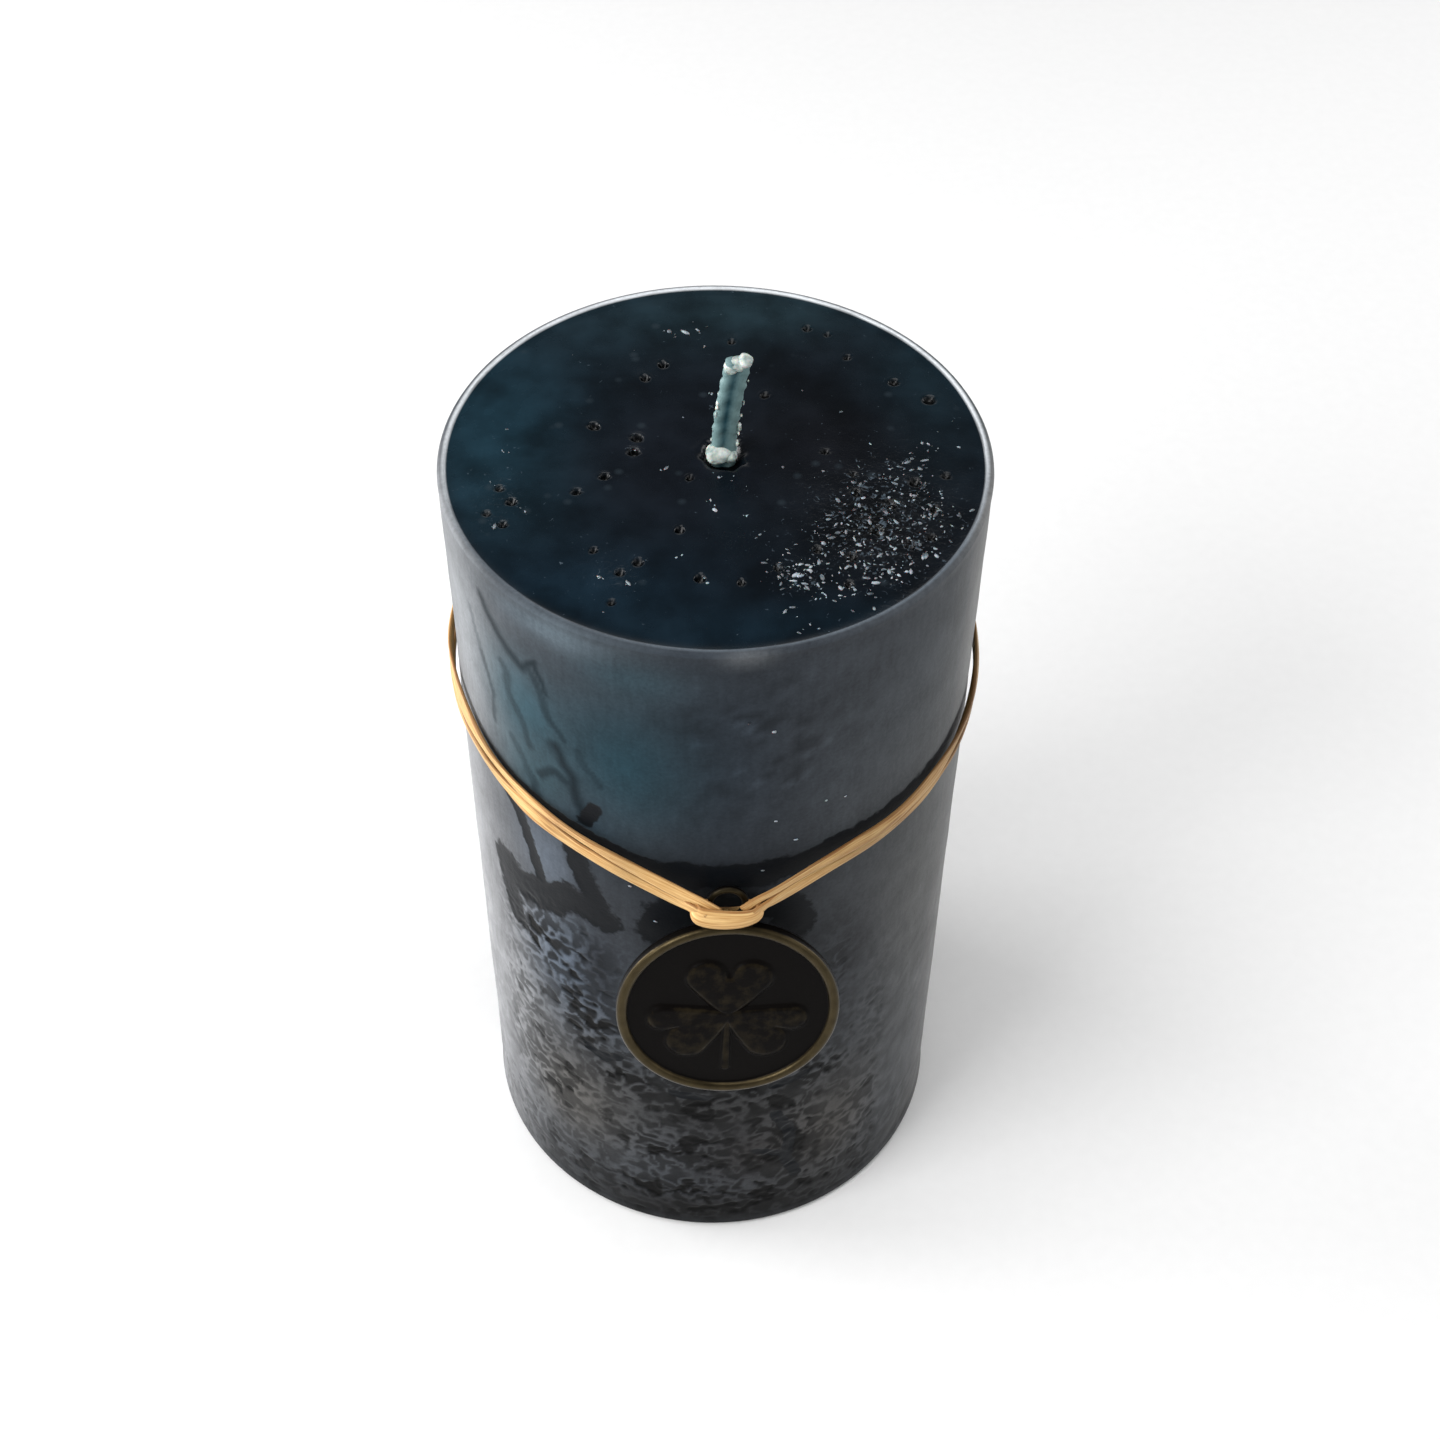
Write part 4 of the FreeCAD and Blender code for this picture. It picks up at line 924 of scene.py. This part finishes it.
def lumpy_blob(middle, size, seed, rough):
    """A soft lump: a ball pressed to size and pushed in and out."""
    bm = bmesh.new()
    bmesh.ops.create_icosphere(bm, subdivisions=4, radius=1)
    points = np.array([v.co for v in bm.verts])
    push = 1 + rough * lumps(points, 0.75, seed) + rough * 0.4 * lumps(points, 0.3, seed + 1)
    for vert, share in zip(bm.verts, push):
        vert.co = Vector(middle) + Vector([c * s * share for c, s in zip(vert.co, size)])
    return bm


def wick_wax():
    """Pale wax that set round the wick's foot and on its trimmed tip, with crumbs along its edges."""
    foot = join([
        lumpy_blob((WICK_X - 0.65, -0.35, HEIGHT + 0.5), (1.55, 1.4, 1.3), 41, 0.16),
        lumpy_blob((WICK_X + 0.9, -0.45, HEIGHT + 0.15), (1.0, 0.95, 0.8), 43, 0.25),
        lumpy_blob((WICK_X + 0.2, 0.7, HEIGHT + 0.2), (1.7, 1.2, 0.9), 45, 0.2),
    ])
    new_piece("wick_foot_collar", foot, "candle", [PRIMING_WAX], ["wick_foot_wax"])
    tip_x = WICK_X + WICK_LEAN
    tip = join([
        lumpy_blob((tip_x - 0.95, -0.1, HEIGHT + WICK_STUB - 0.65), (0.9, 1.05, 0.8), 47, 0.12),
        lumpy_blob((tip_x - 0.1, 0, HEIGHT + WICK_STUB - 0.2), (1.15, 1.1, 0.85), 51, 0.1),
        lumpy_blob((tip_x + 0.75, 0.05, HEIGHT + WICK_STUB + 0.2), (0.95, 1.0, 0.85), 49, 0.12),
    ])
    new_piece("wick_tip_bead", tip, "candle", [PRIMING_WAX], ["wick_tip_wax"])
    chance = random.Random(9)
    bits = []
    for index in range(18):
        up = chance.uniform(1.2, WICK_STUB - 1.2)
        side = -1 if index < 8 else 1
        x = WICK_X + WICK_LEAN * (up / WICK_STUB) ** 1.3 + side * 1.62
        size = chance.uniform(0.1, 0.3) * (1.6 if up < 4 and side > 0 else 1)
        middle = (x, chance.uniform(-0.5, 0.2), HEIGHT + up)
        bits.append(lumpy_blob(middle, (size * 0.8, size * 1.2, size * chance.uniform(0.8, 2.0)), index, 0.3))
    for bit in bits:
        bmesh.ops.dissolve_limit(bit, angle_limit=math.radians(12), verts=bit.verts, edges=bit.edges)
    new_piece("wick_edge_crumbs", join(bits), "candle", [PRIMING_WAX])


# ---------------------------------------------------------------- raffia


def outward(point):
    """Straight out from the candle's axis."""
    return Vector((point.x, point.y, 0)).normalized()


def strip_shape(width, thickness, seed, length, twist=0.35, end_taper=0.0):
    """The changing section of a leaf strip: a flat oval with ridges that run along it."""
    chance = random.Random(seed)
    ridges = [chance.uniform(-1, 1) for _ in range(24)]
    phases = [chance.uniform(0, 6.28) for _ in range(6)]

    def shape(share, angle):
        along = share * length
        index = round((angle + math.pi) / (2 * math.pi) * 24) % 24
        ridge = ridges[index] * (0.7 + 0.3 * math.sin(along / 3.1 + index)) * 0.13
        grow = 1 + 0.10 * math.sin(along / 5.3 + phases[0]) + 0.06 * math.sin(along / 1.9 + phases[1])
        thin = 1 + 0.14 * math.sin(along / 4.1 + phases[2])
        taper = 1 - end_taper * max(0.0, share - 0.6) / 0.4
        flat = math.copysign(abs(math.cos(angle)) ** 0.85, math.cos(angle))
        a = width / 2 * flat * grow * taper * (1 + ridge * 0.4)
        b = thickness / 2 * math.sin(angle) * thin * taper * (1 + ridge * 1.6)
        turn = twist * (math.sin(along / 6.7 + phases[3]) + 0.6 * math.sin(along / 2.9 + phases[4])) / 1.6
        return a * math.cos(turn) - b * math.sin(turn), a * math.sin(turn) + b * math.cos(turn)

    return shape


def strip(points, width, thickness, seed, facing=outward, twist=0.35, end_taper=0.0, step=0.45):
    """One raffia strip along the smooth line through its route."""
    line = smooth_line(points, step)
    length = sum((b - a).length for a, b in zip(line, line[1:]))
    return sweep(line, facing, 24, strip_shape(width, thickness, seed, length, twist, end_taper))


def route_points(route, spread, sign):
    """Corner points of a ply, above or below its route."""
    widest = max(abs(b[0] - a[0]) for a, b in zip(route, route[1:]))
    reach = PLY_MIDDLE / math.cos(math.radians(widest / 2))
    corners = []
    for (degrees, level, standoff), lift in zip(route, spread):
        out = reach - RADIUS + standoff - np.interp(abs(degrees), *PULLED_IN)
        corners.append(on_wall(degrees, level + sign * lift, out))
    return corners


# Where each ply goes on past the end of its route, into the hitch: across, front to back, height.
LEFT_UPPER_END = [(-1.3, -38.3, 85.7), (-3.3, -37.8, 87.1)]
LEFT_LOWER_END = [(-3.0, -38.7, 85.3), (-4.6, -37.9, 86.1)]
RIGHT_UPPER_END = [(2.0, -38.2, 85.9), (3.5, -37.7, 87.1)]
RIGHT_LOWER_END = [(3.4, -38.6, 85.4), (4.7, -37.8, 86.1)]


def cord():
    """Two plies of raffia each way round the wax; near the medal they run on into the hitch."""
    plies = [
        ("ply_left_upper", "cord_left_upper", LEFT_ROUTE, LEFT_SPREAD, 1, LEFT_UPPER_END, 61, 1.9),
        ("ply_left_lower", "cord_left_lower", LEFT_ROUTE, LEFT_SPREAD, -1, LEFT_LOWER_END, 67, 2.0),
        ("ply_right_upper", "cord_right_upper", RIGHT_ROUTE, RIGHT_SPREAD, 1, RIGHT_UPPER_END, 63, 1.8),
        ("ply_right_lower", "cord_right_lower", RIGHT_ROUTE, RIGHT_SPREAD, -1, RIGHT_LOWER_END, 64, 1.75),
    ]
    for name, node, route, spread, sign, into_hitch, seed, width in plies:
        points = [Vector(p) for p in into_hitch] + route_points(route, spread, sign)
        bm = strip(points, width, 0.68, seed)
        piece = new_piece(name, bm, None, [RAFFIA], [node])
        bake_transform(piece)


def back_knot():
    """Overhand knot behind the candle: three crossing strips over a packed core, and two cut tails."""
    core = lumpy_blob((0, 36.7, 97.2), (3.2, 1.15, 2.7), 71, 0.12)
    for vert in core.verts:
        vert.co.y = max(vert.co.y, 35.35)
    lay = core.verts.layers.float_vector.new("Fibre")
    for vert in core.verts:
        vert[lay] = (vert.co.z / 3, vert.co.y / 3, vert.co.x)
    strips = [
        strip([(-3.9, 36.2, 98.4), (-2.6, 37.7, 99.0), (0.2, 38.3, 98.2), (2.6, 37.8, 96.4), (3.3, 36.3, 95.2)],
              2.3, 0.8, 72, twist=0.15, step=0.3),
        strip([(3.9, 36.2, 98.3), (2.8, 37.6, 98.9), (0.6, 38.0, 97.2), (-2.2, 37.9, 95.9), (-3.2, 36.3, 95.2)],
              2.1, 0.8, 73, twist=0.15, step=0.3),
        strip([(0.9, 36.2, 100.4), (1.0, 38.1, 99.9), (0.3, 39.0, 97.4), (-0.5, 38.2, 94.6), (-0.7, 36.2, 94.0)],
              2.4, 0.85, 74, twist=0.12, step=0.3),
    ]
    new_piece("knot", join([core] + strips), "cord", [RAFFIA], ["cord_back_knot"])
    for name, node, route, seed in (
        ("tail_left", "cord_tail_left", LEFT_TAIL, 75), ("tail_right", "cord_tail_right", RIGHT_TAIL, 76)
    ):
        points = [on_wall(degrees, level, 1.1 + standoff) for degrees, level, standoff in route]
        bm = strip(points, 2.0, 0.7, seed, twist=0.7, end_taper=0.5, step=0.3)
        new_piece(name, bm, "cord", [RAFFIA], [node])


def hitch():
    """The raffia folded across the bail's neck and round its sides."""
    front = [(-2.9, -36.9, 85.4), (-4.3, -37.1, 85.7), (-4.2, -38.5, 85.5), (-2.4, -38.95, 85.2), (0, -39.05, 84.95),
             (2.2, -38.95, 84.9), (4.0, -38.5, 85.3), (4.3, -37.2, 85.7), (2.9, -36.9, 85.5)]
    under = [(-2.9, -37.2, 84.4), (-3.8, -37.7, 84.4), (-3.1, -38.5, 84.2), (0, -38.75, 83.8),
             (3.2, -38.5, 84.0), (3.9, -37.6, 84.5), (2.9, -37.2, 84.5)]
    behind = [(-3.6, -37.2, 84.4), (-3.0, -36.0, 82.9), (0, -35.6, 82.0), (3.0, -36.0, 82.9), (3.6, -37.2, 84.4)]
    through = [(0, -38.4, 84.6), (0, -37.3, 83.9), (0, -36.2, 82.9)]

    def round_neck(point):
        return Vector((point.x * 0.35, point.y + 37.3, (point.z - 85) * 0.2 + 0.2)).normalized()

    strips = [
        strip(front, 2.9, 0.8, 81, round_neck, 0.12, step=0.22),
        strip(under, 1.8, 0.7, 82, round_neck, 0.15, step=0.25),
        strip(behind, 1.5, 0.6, 83, round_neck, 0.1, step=0.3),
        strip(through, 1.5, 0.9, 84, lambda point: Vector((0, 0, 1)), 0.0, step=0.3),
    ]
    new_piece("hitch", join(strips), "hitch", [RAFFIA], ["cord_hitch"])


# ---------------------------------------------------------------- medal

# The clover's leaves in the medal's frame: tip, first lobe (middle and radius), second lobe.
LEAVES = [
    ((0, -0.4), (3.0, 5.85, 3.05), (-3.0, 5.85, 3.05)),
    ((0.2, -0.6), (-8.65, -1.3, 2.4), (-5.2, -5.2, 3.3)),
    ((-0.2, -0.6), (5.2, -5.2, 3.3), (8.65, -1.3, 2.4)),
]
STEM = ((0, -1.0, 0.6), (0, -10.3, 0.85))
# The clover is turned a little in the disc. Heights are over the disc's middle: its field, the
# leaves over the field, and the bead's rise and where its section starts.
CLOVER_ROLL = math.radians(2.5)
FIELD = 0.35
RELIEF = 0.6
BEAD_RISE = 0.65
FIELD_EDGE = 13.5


def inside_taper(x, y, a, b, ra, rb):
    """How deep points lie inside a bar that grows from one radius to another between two points."""
    run_x, run_y = b[0] - a[0], b[1] - a[1]
    share = np.clip(((x - a[0]) * run_x + (y - a[1]) * run_y) / (run_x**2 + run_y**2), 0, 1)
    return ra + (rb - ra) * share**0.7 - np.hypot(x - a[0] - share * run_x, y - a[1] - share * run_y)


def clover_height(x, y):
    """Height of the pillow-shaped clover over the medal's field."""
    c, s = math.cos(CLOVER_ROLL), math.sin(CLOVER_ROLL)
    x, y = x * c - y * s, x * s + y * c
    height = np.zeros(len(x))
    for tip, *lobes in LEAVES:
        # The heart's body fills the space between its lobes, short of the notch.
        body = [t + 0.68 * ((a + b) / 2 - t) for t, a, b in zip(tip, lobes[0], lobes[1])]
        depth = inside_taper(x, y, tip, body, 0.7, 2.5)
        for lobe in lobes:
            depth = np.maximum(depth, inside_taper(x, y, tip, lobe, 0.7, lobe[2]))
        height = np.maximum(height, np.sqrt(smoothstep(0, 0.9, depth)) * 0.92 + 0.08 * smoothstep(0.8, 3, depth))
    stem = inside_taper(x, y, STEM[0], STEM[1], STEM[0][2], STEM[1][2])
    return RELIEF * np.maximum(height, 0.75 * smoothstep(0, 0.5, stem))


def medal_disc():
    """The blank with its half-round bead, turned, with the clover raised on its field."""
    disc = bmesh.new()
    bead = [
        (14.25 + 0.75 * math.cos(math.radians(a)), FIELD + BEAD_RISE * math.sin(math.radians(a)))
        for a in range(0, 181, 20)
    ]
    corners = [(0, -1.0), (14.5, -1.0), (14.85, -0.85), (15.0, -0.5)] + bead + [(13.4, FIELD), (0, FIELD)]
    verts = [disc.verts.new((r, 0, w)) for r, w in corners]
    edges = [disc.edges.new(pair) for pair in zip(verts, verts[1:])]
    bmesh.ops.subdivide_edges(disc, edges=[edges[-1]], cuts=52)
    bmesh.ops.subdivide_edges(disc, edges=[edges[0]], cuts=8)
    bmesh.ops.spin(
        disc, geom=disc.verts[:] + disc.edges[:], cent=(0, 0, 0), axis=(0, 0, 1), angle=2 * math.pi, steps=264,
        use_merge=True,
    )
    bmesh.ops.remove_doubles(disc, verts=disc.verts, dist=0.0005)
    bmesh.ops.recalc_face_normals(disc, faces=disc.faces)
    flat = [v for v in disc.verts if v.co.z > FIELD - 0.01 and math.hypot(v.co.x, v.co.y) < FIELD_EDGE]
    place = np.array([v.co for v in flat])
    for vert, rise in zip(flat, clover_height(place[:, 0], place[:, 1])):
        vert.co.z += rise
    return disc


def medal_ring():
    """The bail: a wire ring of 1 mm, open for the raffia."""
    ring = bmesh.new()
    upright = Matrix.Translation((2.35, 0, 0)) @ Matrix.Rotation(math.pi / 2, 4, "X")
    section = bmesh.ops.create_circle(ring, segments=16, radius=0.5, matrix=upright)["verts"]
    bmesh.ops.spin(
        ring, geom=section + list({e for v in section for e in v.link_edges}), cent=(0, 0, 0), axis=(0, 0, 1),
        angle=2 * math.pi, steps=64, use_merge=True,
    )
    bmesh.ops.remove_doubles(ring, verts=ring.verts, dist=0.0005)
    bmesh.ops.recalc_face_normals(ring, faces=ring.faces)
    bmesh.ops.translate(ring, vec=(0, BAIL_LEVEL, 0), verts=ring.verts)
    return ring


def medal_foot():
    """The block that joins the bail to the disc, narrower at the top."""
    foot = bmesh.new()
    bmesh.ops.create_cube(
        foot, size=1, matrix=Matrix.Translation((0, 15.3, 0)) @ Matrix.Diagonal((7.3, 2.4, 1.0, 1))
    )
    for vert in foot.verts:
        if vert.co.y > 15.3:
            vert.co.x *= 0.6
    bmesh.ops.bevel(
        foot, geom=foot.edges[:], affect="EDGES", offset=0.3, segments=4, profile=0.5, material=-1
    )
    return foot


def medal():
    """One casting: the disc with its clover, and a ring on a foot for the cord."""
    whole = join([medal_disc(), medal_ring(), medal_foot()])
    # The bronze is rubbed most on the bead, then on the ring and the leaves' shoulders.
    rubbed = whole.verts.layers.float.new("Rubbed")
    for vert in whole.verts:
        reach = math.hypot(vert.co.x, vert.co.y)
        over = (vert.co.z - FIELD) / BEAD_RISE
        on_bead = min(1.0, max(0.0, over) * 2.5) if reach > FIELD_EDGE else 0
        shoulder = math.exp(-(((over - 0.62) / 0.22) ** 2))
        on_leaf = 0.26 * min(1.0, max(0.0, over)) + 0.2 * shoulder if reach < FIELD_EDGE else 0
        on_ring = 0.9 * max(0.0, vert.co.z / 0.5) if reach > 15.4 else 0
        vert[rubbed] = max(on_bead, on_leaf, on_ring)
    c, s = math.cos(MEDAL_TILT), math.sin(MEDAL_TILT)
    upright = Matrix(((1, 0, 0), (0, s, -c), (0, c, s))).to_4x4()
    bmesh.ops.transform(whole, matrix=Matrix.Translation(MEDAL_MIDDLE) @ upright, verts=whole.verts)
    return new_piece("clover_medal", whole, "medal", [BRONZE], ["medal"])


# ---------------------------------------------------------------- studio


# Soft lamps: name, place, side length in metres, watts.
LAMPS = [
    ("key", (-0.62, -0.42, 0.62), 0.5, 6.0), ("fill", (0.75, -0.35, 0.5), 0.6, 1.5),
    ("overhead", (-0.1, -0.1, 1.2), 0.8, 6.0), ("left side", (-0.7, 0.2, 0.2), 0.4, 5.0),
    ("right side", (0.7, 0.25, 0.2), 0.4, 2.0),
]
# All lamps look at the candle's middle.
LAMP_TARGET = Vector((0, 0, 0.07))
# The camera stands in front, a little to the left, and looks down: its place in metres, and its
# turn, elevation and roll in radians.
CAMERA_PLACE = (-0.01114, -0.21451, 0.3182)
CAMERA_TURN, CAMERA_ELEVATION, CAMERA_ROLL = math.radians(3.2), 0.8366, 0.0093
CAMERA_LENS = 56.5


def studio_floor():
    """Plain pale card, just under the candle's base."""
    bm = bmesh.new()
    bmesh.ops.create_grid(bm, x_segments=1, y_segments=1, size=6)
    bmesh.ops.translate(bm, vec=(0, 0, -0.0002), verts=bm.verts)
    mesh = bpy.data.meshes.new("floor")
    bm.to_mesh(mesh)
    bm.free()
    material, tree, shader = new_material("matt white card", Roughness=0.9, Specular_IOR_Level=0.1)
    place = add_node(tree, "ShaderNodeTexCoord").outputs["Object"]
    grain = add_node(tree, "ShaderNodeTexNoise", {"Vector": place, "Scale": 400.0}).outputs["Fac"]
    colour = add_node(
        tree, "ShaderNodeMix", {0: grain, 6: linear("f1f1f1"), 7: linear("f5f5f5")}, data_type="RGBA"
    ).outputs[2]
    tree.links.new(colour, shader.inputs["Base Color"])
    mesh.materials.append(material)
    floor = bpy.data.objects.new("floor", mesh)
    bpy.context.scene.collection.objects.link(floor)


def studio_air():
    """Pale surroundings, brightest at the horizon, so that the glossy top stays dark."""
    world = bpy.data.worlds.new("studio")
    world.use_nodes = True
    tree = world.node_tree
    up = add_node(tree, "ShaderNodeSeparateXYZ", {0: add_node(tree, "ShaderNodeTexCoord").outputs["Generated"]})
    glow = add_node(
        tree, "ShaderNodeMapRange",
        {"Value": up.outputs[2], "From Min": 0.0, "From Max": 0.5, "To Min": 0.9, "To Max": 0.15},
    ).outputs[0]
    tree.links.new(glow, tree.nodes["Background"].inputs["Strength"])
    tree.nodes["Background"].inputs["Color"].default_value = (1, 1, 1, 1)
    bpy.context.scene.world = world


def studio_lamps():
    """Soft lamps from the left, the right and above, which the camera doesn't see."""
    for name, place, size, power in LAMPS:
        data = bpy.data.lights.new(name, "AREA")
        data.energy = power
        data.size = size
        lamp = bpy.data.objects.new(name, data)
        lamp.location = place
        lamp.rotation_mode = "QUATERNION"
        lamp.rotation_quaternion = (LAMP_TARGET - Vector(place)).to_track_quat("-Z", "Y")
        lamp.visible_camera = False
        bpy.context.scene.collection.objects.link(lamp)


def studio_camera():
    """The camera, built from its own three axes."""
    data = bpy.data.cameras.new("camera")
    data.lens = CAMERA_LENS
    data.sensor_width = 36
    data.clip_start = 0.01
    right = Vector((math.cos(CAMERA_TURN), -math.sin(CAMERA_TURN), 0))
    level = math.cos(CAMERA_ELEVATION)
    back = Vector((-level * math.sin(CAMERA_TURN), -level * math.cos(CAMERA_TURN), math.sin(CAMERA_ELEVATION)))
    up = back.cross(right)
    across = right * math.cos(CAMERA_ROLL) + up * math.sin(CAMERA_ROLL)
    upward = up * math.cos(CAMERA_ROLL) - right * math.sin(CAMERA_ROLL)
    camera = bpy.data.objects.new("camera", data)
    axes = Matrix((across, upward, back)).transposed().to_4x4()
    camera.matrix_world = Matrix.Translation(CAMERA_PLACE) @ axes
    bpy.context.scene.collection.objects.link(camera)
    bpy.context.scene.camera = camera


# ---------------------------------------------------------------- build

bpy.context.scene.view_settings.view_transform = "Standard"
studio_floor()
studio_air()
studio_lamps()
studio_camera()
wax_body()
loose_crumbs()
wick()
wick_wax()
cord()
back_knot()
hitch()
medal()
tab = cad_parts["wick_sustainer"]
tab.data.materials.clear()
tab.data.materials.append(TIN)
